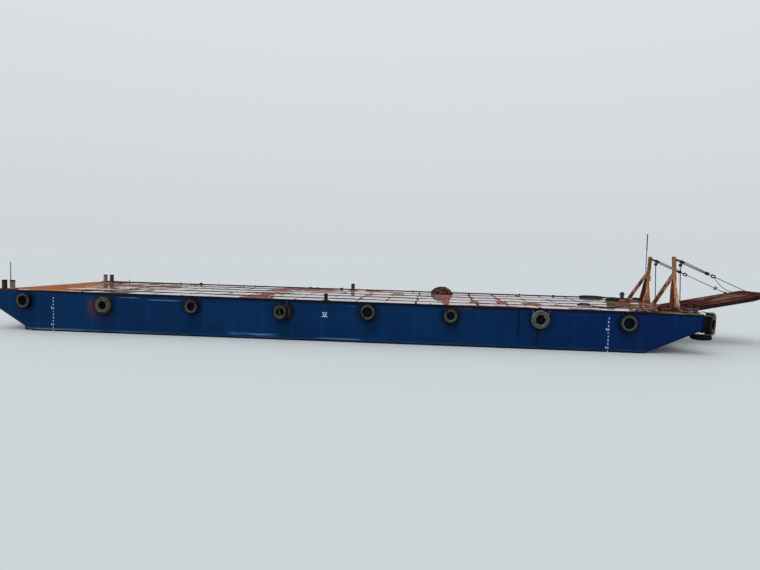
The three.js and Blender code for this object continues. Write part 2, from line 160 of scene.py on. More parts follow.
# One material: node() makes any node, and place is the point in full-size metres.
class Paint:
    def __init__(self, name, **constants):
        self.material = bpy.data.materials.new(name)
        self.material.use_nodes = True
        self.tree = self.material.node_tree
        self.tree.nodes.clear()
        self.shader = self.tree.nodes.new("ShaderNodeBsdfPrincipled")
        output = self.tree.nodes.new("ShaderNodeOutputMaterial")
        self.tree.links.new(self.shader.outputs[0], output.inputs[0])
        for key, value in constants.items():
            self.shader.inputs[key.replace("_", " ")].default_value = value
        point = self.node("ShaderNodeTexCoord", output="Object")
        full = {0: point, 3: 1 / modelScale}
        self.place = self.node("ShaderNodeVectorMath", {"operation": "SCALE"}, full)
        split = self.node("ShaderNodeSeparateXYZ", values={0: self.place}).socket.node
        self.x, self.y, self.z = (Wire(self, socket) for socket in split.outputs)

    def node(self, kind, settings=None, values=None, output=0):
        made = self.tree.nodes.new(kind)
        for key, value in (settings or {}).items():
            if key == "stops":
                ramp = made.color_ramp.elements
                while len(ramp) < len(value):
                    ramp.new(0.5)
                for stop, (at, colour) in zip(ramp, value):
                    stop.position, stop.color = at, colour
            else:
                setattr(made, key, value)
        for key, value in (values or {}).items():
            if isinstance(value, Wire):
                self.tree.links.new(value.socket, made.inputs[key])
            else:
                made.inputs[key].default_value = value
        return Wire(self, made.outputs[output])

    # A share of the second colour over the first; a colour is a wire or a code such as "2d4a6c".
    def mix(self, share, *colours):
        first, second = (tint(c) if isinstance(c, str) else c for c in colours)
        return self.node("ShaderNodeMix", {"data_type": "RGBA"}, {0: share, 6: first, 7: second}, 2)

    def attribute(self, name):
        return self.node("ShaderNodeAttribute", {"attribute_name": name}, output="Fac")

    # Noise about 0.5, with so many lumps a metre along each axis.
    def noise(self, rate, detail=3.0, rough=0.55, shift=0.0):
        rates = (rate, rate, rate) if isinstance(rate, (int, float)) else rate
        moved = self.node(
            "ShaderNodeVectorMath",
            {"operation": "MULTIPLY_ADD"},
            {0: self.place, 1: rates, 2: (shift, shift * 1.7, shift * 0.6)},
        )
        values = {"Vector": moved, "Scale": 1.0, "Detail": detail, "Roughness": rough}
        return self.node("ShaderNodeTexNoise", {}, values)

    # One random number for each cell of a line of cells.
    def cell(self, value):
        values = {"W": value.maths("FLOOR")}
        return self.node("ShaderNodeTexWhiteNoise", {"noise_dimensions": "1D"}, values)

    def bump(self, height, distance, strength=1.0, after=None):
        values = {"Height": height, "Distance": distance, "Strength": strength}
        if after is not None:
            values["Normal"] = after
        return self.node("ShaderNodeBump", {}, values)

    def finish(self, **wires):
        for key, wire in wires.items():
            self.tree.links.new(wire.socket, self.shader.inputs[key.replace("_", " ")])
        return self.material


# Rust that eats a coat of paint: blotches, runs down the faces, chips and a grainy surface.
def weathered(name, coat, faded, rust, deep, bare=0.45, runs=0.5, grain=1.0, rough=(0.5, 0.9)):
    paint = Paint(name, Metallic=0.0, IOR=1.45, Specular_IOR_Level=0.12)
    blotch = paint.noise(2.6, 5, 0.62)
    fine = paint.noise(19, 4, 0.6, 3.0)
    run = paint.noise((9, 9, 0.9), 3, 0.6, 7.0)
    speck = paint.noise(70, 2, 0.5, 5.0)
    patchy = blotch + (fine - 0.5) * 0.5 + (run - 0.5) * runs
    worn = patchy.step(1.0 - bare - 0.06, 1.0 - bare + 0.05)
    paintColour = paint.mix(paint.noise(1.3, 4, 0.6, 11).step(0.38, 0.66), coat, faded)
    rustColour = paint.mix(fine.step(0.34, 0.68), deep, rust)
    colour = paint.mix(worn, paintColour, rustColour)
    colour = paint.mix((speck.step(0.6, 0.75)) * 0.35, colour, deep)
    relief = worn * -0.5 + fine * 0.6 * grain + speck * 0.25 * grain
    return paint.finish(
        Base_Color=colour,
        Roughness=worn * (rough[1] - rough[0]) + rough[0] + (speck - 0.5) * 0.2,
        Normal=paint.bump(relief, 0.0035),
    )


def hullPaint():
    look = {
        "navy": "022b52",
        "deepNavy": "02264b",
        "bright": "03194a",
        "chalky": "2d4a6c",
        "scuff": "5f7c9c",
        "soot": "070b14",
        "rust": "5b2c22",
        "dirt": "35291f",
        "slime": "0d1616",
        "scum": "5a6d7c",
        "bottom": "2a1713",
        "plate": 5.9,
        "run": "221d24",
        "shade": "050f24",
        "plateSeam": 0.03,
        "ribFrom": 3.45,
        "ribStep": 1.77,
        "pipes": (11.03, 12.11),
        # Where ropes chafed: [along, half length, height, how deep]
        "scuffs": [
            (-13.6, 0.6, 2.83, 0.025), (-12.0, 0.7, 2.79, 0.03), (-9.6, 1.0, 2.7, 0.03),
            (14.0, 0.7, 2.72, 0.02), (7.8, 0.8, 2.86, 0.02), (1.6, 0.5, 2.76, 0.02),
            (-4.3, 1.3, 0.93, 0.09), (0.9, 1.2, 0.85, 0.03),
        ],
    }
    paint = Paint("hullPaint", IOR=1.5, Specular_IOR_Level=0.05)
    x, z = paint.x, paint.z
    broad = paint.noise((0.3, 0.3, 0.8), 4, 0.6)
    streak = paint.noise((7, 7, 0.5), 4, 0.62, 4)
    wipe = paint.noise((0.7, 0.7, 7), 4, 0.6, 8)
    fine = paint.noise(22, 4, 0.6, 2)
    plates = x / look["plate"] + 0.37
    tone = paint.cell(plates)
    colour = paint.mix(broad.step(0.36, 0.64), look["deepNavy"], look["navy"])
    colour = paint.mix(x.step(4, 19) * 0.5 + (streak - 0.5) * 0.3 + tone * 0.1, colour, look["bright"])
    seam = abs(plates - plates.maths("ROUND")) * look["plate"]
    ribs = (x - look["ribFrom"]) / look["ribStep"]
    frames = abs(ribs - ribs.maths("ROUND")) * look["ribStep"]
    colour = paint.mix(frames.step(0.16, 0.02) * (0.1 * broad), colour, look["chalky"])
    for at in look["pipes"]:
        colour = paint.mix(x.band(at, 0.03, 0.07) * z.step(0.8, 1.6) * 0.7, colour, look["soot"])

    # Ropes chafe thin pale streaks under the deck edge, and a band just under the edge is painted near black
    # as shade.
    high = 0
    for at, half, height, depth in look["scuffs"]:
        high = x.band(at, half * 0.5, half) * z.band(height, depth * 0.5, depth) + high
    colour = paint.mix(high * wipe.step(0.4, 0.62) * 0.7, colour, look["scuff"])
    # Painted shade under the deck edge: the top of the side goes near black.
    soot = (z + (wipe - 0.5) * 0.12 + x.step(-14, -20.8) * -0.14).step(2.8, 2.93)
    colour = paint.mix(soot * 0.85, colour, look["soot"])
    runs = paint.noise((11, 11, 0.35), 3, 0.6, 15).step(0.64, 0.76) * z.step(0.9, 2.9)
    colour = paint.mix(runs * 0.3, colour, look["run"])
    chips = (fine + (wipe - 0.5) * 0.4).step(0.7, 0.75) * paint.noise(0.6, 2, 0.5, 9).step(0.52, 0.64)
    colour = paint.mix(chips * 0.6, colour, look["rust"])
    scar = x.band(-14.3, 0.08, 0.4) * z.band(2.2, 0.15, 0.45) * (wipe * 0.6 + fine * 0.6).step(0.45, 0.7)
    colour = paint.mix(scar * 0.6, colour, look["rust"])
    dirt = x.band(-14.0, 0.25, 0.5) * z.band(1.65, 0.1, 0.4)
    colour = paint.mix(dirt * (0.2 + streak * 0.3), colour, look["dirt"])

    # Painted shadow of each fender: the side is near black behind it and through its hole, with a dark halo
    # round it and dark streaks below it.
    for at, height, radius in tyreShadows:
        across, up = x - at, z - height
        away = across * across + up * up
        black = away.step((radius * 0.95) ** 2, (radius * 0.6) ** 2)
        colour = paint.mix(black * 0.85, colour, look["soot"])
        near = away.step((radius * 1.7) ** 2, (radius * 1.0) ** 2)
        below = x.band(at + 0.1, radius * 0.5, 0.35) * z.step(height, height - 0.7) * z.step(0.5, 1.6)
        colour = paint.mix(near * 0.5 + below * (streak * 0.5), colour, look["shade"])

    rise = z - (x - barge["trimFrom"]) * barge["trim"] - barge["waterline"] + (wipe - 0.5) * 0.04
    scum = rise.band(0.135, 0.02, 0.04) * (x.step(-8, -17) * 0.75 + 0.12)
    colour = paint.mix(scum * wipe.step(0.3, 0.55), colour, look["scum"])
    # Darker in a band just over the waterline.
    colour = paint.mix(rise.step(0.11, 0.07) * 0.92, colour, look["slime"])
    colour = paint.mix(rise.step(-0.05, -0.12), colour, look["bottom"])
    waves = paint.noise((0.9, 0.9, 1.3), 2, 0.5, 13)
    relief = paint.bump(frames.step(0.3, 0.0) * 0.35 + waves * 0.8, 0.012)
    fineRelief = seam.step(look["plateSeam"], 0.0) + chips * -0.3 + fine * 0.12
    relief = paint.bump(fineRelief, 0.004, after=relief)
    return paint.finish(
        Base_Color=colour,
        Roughness=broad * 0.16 + 0.34 + high * 0.25 + runs * 0.2,
        Normal=relief,
    )


def deckSteel():
    look = {
        "line": "291a1b",
        "brown": "4d332c",
        "rust": "7c4a43",
        "rose": "9f6e65",
        "sand": "8f795c",
        "orange": "87513a",
        "tan": "a67553",
        "damp": "968c8e",
        "pink": "a99292",
        "dull": "6b5245",
        "umber": "57301f",
        "bowDark": "35201b",
        "bowPale": "8a7060",
    }
    paint = Paint("deckSteel", IOR=1.4, Specular_IOR_Level=0.0, Coat_Roughness=0.02, Coat_IOR=1.7)
    fine = paint.noise(16, 4, 0.62, 2)
    broad = paint.noise(0.8, 4, 0.6)
    mid = paint.noise(3.1, 4, 0.6, 9)
    grit = paint.noise(60, 3, 0.6, 5)
    streak = paint.noise((0.5, 2.2, 1), 4, 0.6, 21)
    wet = (paint.attribute("wet") + (fine - 0.5) * 0.3 + (broad - 0.5) * 0.15).step(0.4, 0.6)
    orange, sand, rusty = (paint.attribute(key) for key in ("orange", "sand", "rusty"))
    rust = paint.mix(mid.step(0.36, 0.62), look["rust"], look["rose"])
    rust = paint.mix((fine * 0.6 + mid * 0.5).step(0.56, 0.64) * 0.7, rust, look["line"])
    line = paint.mix((mid * 0.6 + fine * 0.5).step(0.5, 0.64), look["line"], look["brown"])
    line = paint.mix(paint.x.step(-5, -12) * mid.step(0.42, 0.56) * 0.7, line, look["dull"])
    dry = paint.mix(rusty * (0.6 + fine * 0.6), line, rust)
    clouds = streak * 0.5 + mid * 0.4 + fine * 0.3
    sheet = paint.mix(clouds.step(0.44, 0.76), look["orange"], look["tan"])
    dry = paint.mix(orange, dry, sheet)
    stains = (streak * 0.5 + fine * 0.6).step(0.56, 0.44)
    dry = paint.mix(orange * stains * 0.65, dry, look["umber"])
    dry = paint.mix(sand * fine.step(0.2, 0.55), dry, look["sand"])
    bow = paint.x.step(16.8, 19)
    dry = paint.mix(bow * mid.step(0.4, 0.54) * 0.85, dry, look["bowDark"])
    dry = paint.mix(bow * (fine * 0.7 + mid * 0.4).step(0.58, 0.66) * 0.6, dry, look["bowPale"])
    # In the puddles the base is a pale grey and pink, painted as the sky's reflection, over the coat's own
    # gloss.
    damp = paint.mix(broad.step(0.42, 0.6), look["damp"], look["pink"])
    damp = paint.mix(orange * 0.5, damp, look["orange"])
    colour = paint.mix(wet, dry, damp)
    relief = (1 - wet) * (fine * 0.8 + grit * 0.5)
    return paint.finish(
        Base_Color=colour,
        Roughness=0.85 - wet * 0.6 + (grit - 0.5) * 0.1,
        Coat_Weight=wet,
        Normal=paint.bump(relief, 0.004),
    )


def edgePaint():
    paint = Paint("edgePaint", IOR=1.45, Specular_IOR_Level=0.0)
    x, z = paint.x, paint.z
    fine = paint.noise(14, 4, 0.62, 2)
    long = paint.noise((0.9, 5, 5), 4, 0.62, 6)
    top = (z + (fine - 0.5) * 0.03).step(3.015, 3.035)
    colour = paint.mix(long.step(0.5, 0.62), "0b1224", "241714")
    worn = paint.mix(long.step(0.4, 0.6), "3a2320", "664436")
    colour = paint.mix(top * 0.85, colour, worn)
    colour = paint.mix(paint.y.step(5.0, 5.8) * 0.7, colour, "20150f")
    orange = x.step(-17.2, -19.0) * fine.step(0.36, 0.56)
    colour = paint.mix(orange * top * 0.8, colour, "945a38")
    olive = x.step(18.2, 19.6) * fine.step(0.34, 0.52)
    colour = paint.mix(olive * 0.8, colour, "85785a")
    return paint.finish(
        Base_Color=colour,
        Roughness=0.66 + fine * 0.25,
        Normal=paint.bump(fine, 0.004),
    )


# Old rubber: nearly black on the tread, and dusty or muddy on the wall round the hole.
def rubber(name, dark, grey, dust, dusty, wallColour, chalk=0.0):
    paint = Paint(name, IOR=1.5, Specular_IOR_Level=0.04)
    broad = paint.noise(2.2, 4, 0.6)
    fine = paint.noise(24, 4, 0.62, 3)
    crack = paint.noise(90, 2, 0.5, 5)
    groove = paint.attribute("groove")
    wall = paint.attribute("wall")
    colour = paint.mix(broad.step(0.38, 0.64), dark, grey)
    mud = (broad * 0.6 + fine * 0.5 + groove * 0.15 + wall * 0.12).step(1.02 - dusty, 1.2 - dusty)
    colour = paint.mix(mud, colour, dust)
    ring = wall * (fine * 0.5 + broad * 0.7).step(0.4, 0.66)
    colour = paint.mix(ring * 0.9, colour, wallColour)
    colour = paint.mix(paint.attribute("shoulder") * chalk * fine.step(0.3, 0.6), colour, "8a8f86")
    return paint.finish(
        Base_Color=colour,
        Roughness=0.6 + mud * 0.35 + (fine - 0.5) * 0.2,
        Normal=paint.bump(fine * 0.7 + crack * 0.3 + mud * 0.6, 0.003),
    )


def ropeFibre(name, dark, light, wetness=0.2):
    paint = Paint(name, IOR=1.4, Specular_IOR_Level=0.15)
    broad = paint.noise(3.5, 4, 0.6)
    fibre = paint.noise(110, 3, 0.6, 4)
    crown = paint.attribute("crown")
    colour = paint.mix((broad * 0.7 + fibre * 0.4).step(0.38, 0.72), dark, light)
    # The grooves between the strands are painted dark, as shade.
    colour = paint.mix((1 - crown) * 0.65, colour, "15110e")
    return paint.finish(
        Base_Color=colour,
        Roughness=0.92 - wetness * broad,
        Normal=paint.bump(fibre, 0.0015),
    )


# A heap of old ropes of many kinds: tarred black, bleached, tan and rust red by turns.
def heapFibre():
    paint = Paint("heapRope", IOR=1.4, Specular_IOR_Level=0.15)
    patch = paint.noise(8.0, 3, 0.6)
    other = paint.noise(5.0, 3, 0.6, 13)
    fibre = paint.noise(110, 3, 0.6, 4)
    colour = paint.mix(patch.step(0.44, 0.5), "0e0e0e", "262320")
    colour = paint.mix(other.step(0.46, 0.52) * 0.85, colour, "5c2c20")
    colour = paint.mix(patch.step(0.58, 0.61), colour, "b0a894")
    colour = paint.mix(other.step(0.4, 0.34) * 0.8, colour, "3c3a26")
    # The grooves between the strands are painted dark, as shade.
    colour = paint.mix((1 - paint.attribute("crown")) * 0.6, colour, "0a0806")
    return paint.finish(
        Base_Color=colour,
        Roughness=0.85 + patch * 0.1,
        Normal=paint.bump(fibre, 0.0015),
    )


def tackleSteel():
    paint = Paint("tackleSteel", IOR=1.5)
    broad = paint.noise(9, 4, 0.6)
    fine = paint.noise(60, 3, 0.6, 4)
    rusty = (broad + (fine - 0.5) * 0.4).step(0.5, 0.64)
    colour = paint.mix(rusty, "1b1a1a", "3e2a20")
    return paint.finish(
        Base_Color=colour,
        Metallic=0.7 - rusty * 0.6,
        Roughness=0.42 + rusty * 0.4,
        Normal=paint.bump(fine, 0.002),
    )


def poleSteel():
    paint = Paint("poleSteel", IOR=1.5)
    fine = paint.noise(30, 4, 0.6, 4)
    run = paint.noise((20, 20, 1.2), 3, 0.6, 2)
    stain = (fine * 0.5 + run * 0.6).step(0.58, 0.74)
    upper = paint.z.step(6.58, 6.62)
    body = paint.mix(upper, "46565b", "2c2c2e")
    return paint.finish(
        Base_Color=paint.mix(stain, body, "6a5040"),
        Metallic=0.55 - stain * 0.5,
        Roughness=0.45 + stain * 0.35,
        Normal=paint.bump(fine, 0.0015),
    )


# The bitts' paint: rust red or pale posts under black tops, with rust and pale runs.
def bittsPaint():
    paint = Paint("bittsPaint", IOR=1.45, Specular_IOR_Level=0.1)
    blotch = paint.noise(3.4, 5, 0.62)
    fine = paint.noise(24, 4, 0.6, 3.0)
    run = paint.noise((14, 14, 1.2), 3, 0.6, 7.0)
    pale = paint.attribute("pale")
    worn = (blotch + (fine - 0.5) * 0.5 + (run - 0.5) * 0.6).step(0.5, 0.62)
    red = paint.mix(worn, "3c1218", "452119")
    grey = paint.mix(worn, "83807a", "92765e")
    colour = paint.mix(pale, red, grey)
    colour = paint.mix(run.step(0.52, 0.64) * 0.6, colour, "1c0e0e")
    colour = paint.mix(paint.attribute("cap") * 0.92, colour, "131214")
    return paint.finish(
        Base_Color=colour,
        Roughness=0.55 + worn * 0.3,
        Normal=paint.bump(worn * -0.5 + fine * 0.6, 0.003),
    )


# The posts' old ochre: pale streaks down the middle of a face, olive high up, rust in the runs.
def postPaint():
    paint = Paint("postPaint", IOR=1.45, Specular_IOR_Level=0.15)
    z = paint.z
    blotch = paint.noise((3, 3, 1.2), 5, 0.62)
    fine = paint.noise(26, 4, 0.6, 3.0)
    run = paint.noise((11, 11, 0.45), 4, 0.62, 7.0)
    thin = paint.noise((26, 26, 0.8), 3, 0.6, 17.0)
    high = (z + (blotch - 0.5) * 1.6).step(4.3, 5.3)
    colour = paint.mix(high, "be8559", "7b5c38")
    pale = run.step(0.52, 0.66) * (1 - high * 0.75)
    colour = paint.mix(pale * 0.9, colour, "e6cab4")
    rust = (run * 0.7 + blotch * 0.5).step(0.54, 0.44) * (0.6 + thin * 0.5)
    colour = paint.mix(rust, colour, "68341c")
    colour = paint.mix((thin * 0.7 + fine * 0.4).step(0.56, 0.66) * 0.85, colour, "331a10")
    foot = (z + (fine - 0.5) * 0.3).step(3.3, 3.05)
    colour = paint.mix(foot * 0.75, colour, "5a3024")
    return paint.finish(
        Base_Color=colour,
        Roughness=0.6 + rust * 0.25,
        Normal=paint.bump(rust * -0.5 + fine * 0.6, 0.003),
    )


# The ramp's worn plate: brown red with long scrapes from the hinge to the lip.
def rampPaint():
    paint = Paint("rampPaint", IOR=1.45, Specular_IOR_Level=0.0)
    blotch = paint.noise((0.9, 1.6, 1), 5, 0.62)
    scrape = paint.noise((0.45, 9, 1), 4, 0.62, 5.0)
    fine = paint.noise(30, 4, 0.6, 3.0)
    colour = paint.mix(blotch.step(0.38, 0.62), "341715", "482422")
    colour = paint.mix(scrape.step(0.5, 0.68) * 0.6, colour, "593833")
    colour = paint.mix(scrape.step(0.46, 0.36) * 0.6, colour, "3c1f1a")
    tan = paint.x.band(24.6, 0.7, 0.9) * (blotch * 0.6 + fine * 0.5).step(0.5, 0.64)
    colour = paint.mix(tan * 0.7, colour, "886b5a")
    # The underside is painted darker, as shade.
    under = paint.attribute("under")
    colour = paint.mix(under * 0.8, colour, "2a1512")
    return paint.finish(
        Base_Color=colour,
        Roughness=0.62 + fine * 0.25,
        Normal=paint.bump(scrape * 0.7 + fine * 0.5, 0.003),
    )


def plainPaint(name, colour, rough):
    paint = Paint(name, Roughness=rough)
    paint.shader.inputs["Base Color"].default_value = tint(colour)
    return paint.material


# A shape is a list of points and a list of faces; shapes add up into one piece.
def merge(*shapes):
    points, faces, marks, start = [], [], {}, 0
    names = {name for shape in shapes for name in (shape[2] if len(shape) > 2 else {})}
    for shape in shapes:
        count = len(shape[0])
        points.append(shape[0])
        faces.append([[index + start for index in face] for face in shape[1]])
        own = shape[2] if len(shape) > 2 else {}
        for name in names:
            marks.setdefault(name, []).append(own.get(name, np.zeros(count)))
        start += count
    joined = {name: np.concatenate(values) for name, values in marks.items()}
    return np.concatenate(points), [face for group in faces for face in group], joined


# A grid of points into quads, joined round where it closes; its faces point along du x dv.
def gridShape(points, roundU=False, roundV=False, marks=None):
    rows, columns = points.shape[:2]
    u = np.arange(rows if roundU else rows - 1)
    v = np.arange(columns if roundV else columns - 1)
    uu, vv = np.meshgrid(u, v, indexing="ij")
    nextU, nextV = (uu + 1) % rows, (vv + 1) % columns
    corners = [uu * columns + vv, nextU * columns + vv, nextU * columns + nextV, uu * columns + nextV]
    faces = np.stack([c.ravel() for c in corners], axis=1).tolist()
    flat = {name: np.asarray(value, float).ravel() for name, value in (marks or {}).items()}
    return points.reshape(-1, 3), faces, flat


# Frames along a path: the tangent, and two sides square to it, the first square to the pole.
def frames(path, pole):
    tangent = unit(np.gradient(path, axis=0))
    first = unit(np.cross(tangent, np.asarray(pole, float)))
    return tangent, first, np.cross(tangent, first)


# A section of [across, up] points carried along a path, with both ends capped.
def sweep(path, section, pole=(0, 0, 1)):
    path = np.asarray(path, float)
    section = np.asarray(section, float)
    _, first, second = frames(path, pole)
    offset = section[None, :, 0, None] * first[:, None] + section[None, :, 1, None] * second[:, None]
    shape = gridShape(path[:, None] + offset, roundV=True)
    count, last = len(section), len(path) * len(section)
    caps = [list(range(count)), list(range(last - count, last))[::-1]]
    return shape[0], [face[::-1] for face in shape[1]] + caps, shape[2]


# So many angles, evenly round a circle.
def around(count):
    return np.arange(count) / count * 2 * math.pi


def circle(radius, count):
    angle = around(count)
    return np.stack([radius * np.cos(angle), radius * np.sin(angle)], axis=1)


def bar(start, end, radius, count=12, pole=None):
    start, end = np.asarray(start, float), np.asarray(end, float)
    run = unit(end - start)
    side = pole if pole is not None else ((1, 0, 0) if abs(run[2]) > 0.8 else (0, 0, 1))
    return sweep(np.linspace(start, end, 2), circle(radius, count), side)


# A round body from a list of [radius, height] turned about an upright axis through a point.
def turned(profile, centre, count=24, axis=2):
    profile = np.asarray(profile, float)
    ring = circle(1, count)
    points = np.zeros((count, len(profile), 3))
    across = [k for k in range(3) if k != axis]
    points[..., across[0]] = ring[:, None, 0] * profile[None, :, 0]
    points[..., across[1]] = ring[:, None, 1] * profile[None, :, 0]
    points[..., axis] = profile[None, :, 1]
    points += np.asarray(centre, float)
    shape = gridShape(points, roundU=True)
    rows = np.arange(count)
    low, high = (rows * len(profile)).tolist(), (rows * len(profile) + len(profile) - 1).tolist()
    return shape[0], shape[1] + [low[::-1], high], shape[2]


def box(low, high):
    low, high = np.asarray(low, float), np.asarray(high, float)
    corner = np.array([[0, 0], [1, 0], [1, 1], [0, 1]], float)
    points = np.zeros((2, 4, 3))
    points[..., :2] = low[:2] + corner * (high - low)[:2]
    points[0, :, 2], points[1, :, 2] = low[2], high[2]
    faces = [[0, 1, 5, 4], [1, 2, 6, 5], [2, 3, 7, 6], [3, 0, 4, 7], [3, 2, 1, 0], [4, 5, 6, 7]]
    return points.reshape(-1, 3), faces, {}


# A flat outline in X and Z with a thickness in Y.
def slab(outline, low, high):
    outline = np.asarray(outline, float)
    count = len(outline)
    points = np.zeros((2, count, 3))
    points[..., 0], points[..., 2] = outline[:, 0], outline[:, 1]
    points[0, :, 1], points[1, :, 1] = low, high
    ring = [[k, (k + 1) % count, count + (k + 1) % count, count + k] for k in range(count)]
    faces = ring + [list(range(count))[::-1], list(range(count, 2 * count))]
    return points.reshape(-1, 3), faces, {}


def moved(shape, place):
    return place(shape[0]), shape[1], shape[2]


materials = {}


# A node's name as a piece's: rope_heap becomes ropeHeap.
def pieceName(node):
    first, *others = node.split("_")
    return first + "".join(word.title() for word in others)


def addPiece(name, shape, body, finish, nodes=(), bevel=0.0, smooth=40.0, mend=True):
    points, faces = shape[0] * modelScale, shape[1]
    mesh = bpy.data.meshes.new(name)
    mesh.from_pydata(points.tolist(), [], faces)
    for key, values in (shape[2] if len(shape) > 2 else {}).items():
        mesh.attributes.new(key, "FLOAT", "POINT").data.foreach_set("value", values.astype(np.float32))
    if mend:
        edit = bmesh.new()
        edit.from_mesh(mesh)
        bmesh.ops.recalc_face_normals(edit, faces=edit.faces)
        edit.to_mesh(mesh)
        edit.free()
    mesh.validate()
    mesh.shade_smooth()
    mesh.set_sharp_from_angle(angle=math.radians(smooth))
    mesh.materials.append(materials[finish])
    piece = bpy.data.objects.new(name, mesh)
    bpy.context.scene.collection.objects.link(piece)
    if bevel:
        edge = piece.modifiers.new("bevel", "BEVEL")
        edge.width = bevel * modelScale
        edge.segments = 2
        edge.limit_method = "ANGLE"
        edge.angle_limit = math.radians(35)
    if body is not None:
        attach(piece, body)
    if nodes:
        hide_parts(*nodes)
    return piece


# A CAD solid that is right gets softened edges on a clean copy, which stands for it.
def softenNode(node, body, finish, bevel, extra=()):
    edit = bmesh.new()
    edit.from_mesh(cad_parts[node].data)
    bmesh.ops.remove_doubles(edit, verts=edit.verts, dist=1e-5)
    flat = math.radians(1)
    bmesh.ops.dissolve_limit(edit, angle_limit=flat, verts=edit.verts, edges=edit.edges)
    edit.verts.index_update()
    points = np.array([v.co for v in edit.verts]) / modelScale
    faces = [[v.index for v in face.verts] for face in edit.faces]
    edit.free()
    shape = merge((points, faces, {}), *extra)
    return addPiece(pieceName(node), shape, body, finish, [node], bevel, smooth=30)


deckLook = {
    "edge": 0.09,
    "step": 0.085,
    "frame": 1.77,
    "frameFrom": 3.45,
    "strips": 5,
    "dish": 0.014,
    "longLine": 0.46,
    "crossLine": 0.09,
    "crooked": 0.07,
    "bandsFrom": -7.5,
    "bandsOver": 6,
    "bandStep": 2.3,
    "floodFrom": -15.4,
    "floodSlant": 0.4,
    "margin": 0.8,
    "waterEdge": 0.07,
    "skin": 0.0005,
    "thick": 0.02,
}


# Smooth random ground: a sum of a few seeded waves over x and y.
def ground(x, y, seed, count=14, longest=9.0, shortest=0.9):
    random = np.random.default_rng(seed)
    total = np.zeros_like(x)
    for _ in range(count):
        length = np.exp(random.uniform(math.log(shortest), math.log(longest)))
        angle, phase = random.uniform(0, 2 * math.pi, 2)
        total += np.sin((x * math.cos(angle) + y * math.sin(angle)) / length * 2 * math.pi + phase)
    return total / math.sqrt(count)


# Dry places: [x, y, half length, half width, how dry]
dryPlaces = [
    (-4.4, -4.9, 1.1, 1.1, 0.95),
    (-4.5, -2.4, 0.6, 1.2, 0.75),
    (-4.6, -0.4, 1.7, 0.5, 0.85),
    (-5.0, 3.0, 1.1, 1.6, 0.8),
    (-3.2, 4.4, 2.2, 0.8, 0.9),
    (-1.8, 2.5, 2.1, 0.5, 0.85),
    (-0.6, 5.5, 1.7, 0.4, 0.9),
    (6.9, 1.7, 0.62, 1.9, 1.1),
    (7.0, -3.0, 0.26, 2.6, 0.85),
    (8.8, 1.2, 0.16, 1.6, 0.8),
    (8.8, -2.5, 0.3, 1.1, 0.85),
    (8.8, -5.4, 1.4, 0.5, 0.9),
    (10.5, 3.6, 0.25, 0.9, 0.8),
    (10.5, 0.7, 0.2, 0.9, 0.8),
    (10.5, -2.2, 0.35, 1.2, 0.95),
    (10.6, -5.3, 1.2, 0.6, 0.9),
    (12.2, -2.6, 0.6, 1.1, 0.95),
    (14.0, -3.2, 0.8, 0.8, 0.8),
    (14.8, -5.0, 0.9, 0.4, 0.8),
    (-20.4, 0.0, 0.5, 6.5, 0.9),
    (20.4, 0.0, 1.1, 6.5, 1.0),
    (19.4, -4.9, 1.8, 0.9, 0.9),
    (19.2, 2.2, 0.9, 2.4, 0.8),
    (17.3, -1.8, 0.4, 1.5, 0.8),
    (18.5, 0.1, 0.9, 1.9, 1.0),
    (18.2, -2.9, 0.7, 0.7, 0.85),
    (1.9, 0.8, 0.35, 1.2, 0.8),
    (2.6, 3.9, 1.5, 0.7, 0.8),
    (0.2, 3.9, 0.5, 0.8, 0.85),
    (3.7, 2.2, 0.5, 1.0, 0.8),
    (-15.6, 1.6, 1.6, 0.7, 0.9),
]
# Puddles that stay where it is dry all round: [x, y, half length, half width]
wetPlaces = [
    (19.6, 1.0, 0.35, 0.4),
    (18.7, -1.7, 0.4, 0.5),
    (20.3, 0.6, 0.5, 0.9),
    (-19.4, -5.2, 0.5, 0.35),
]


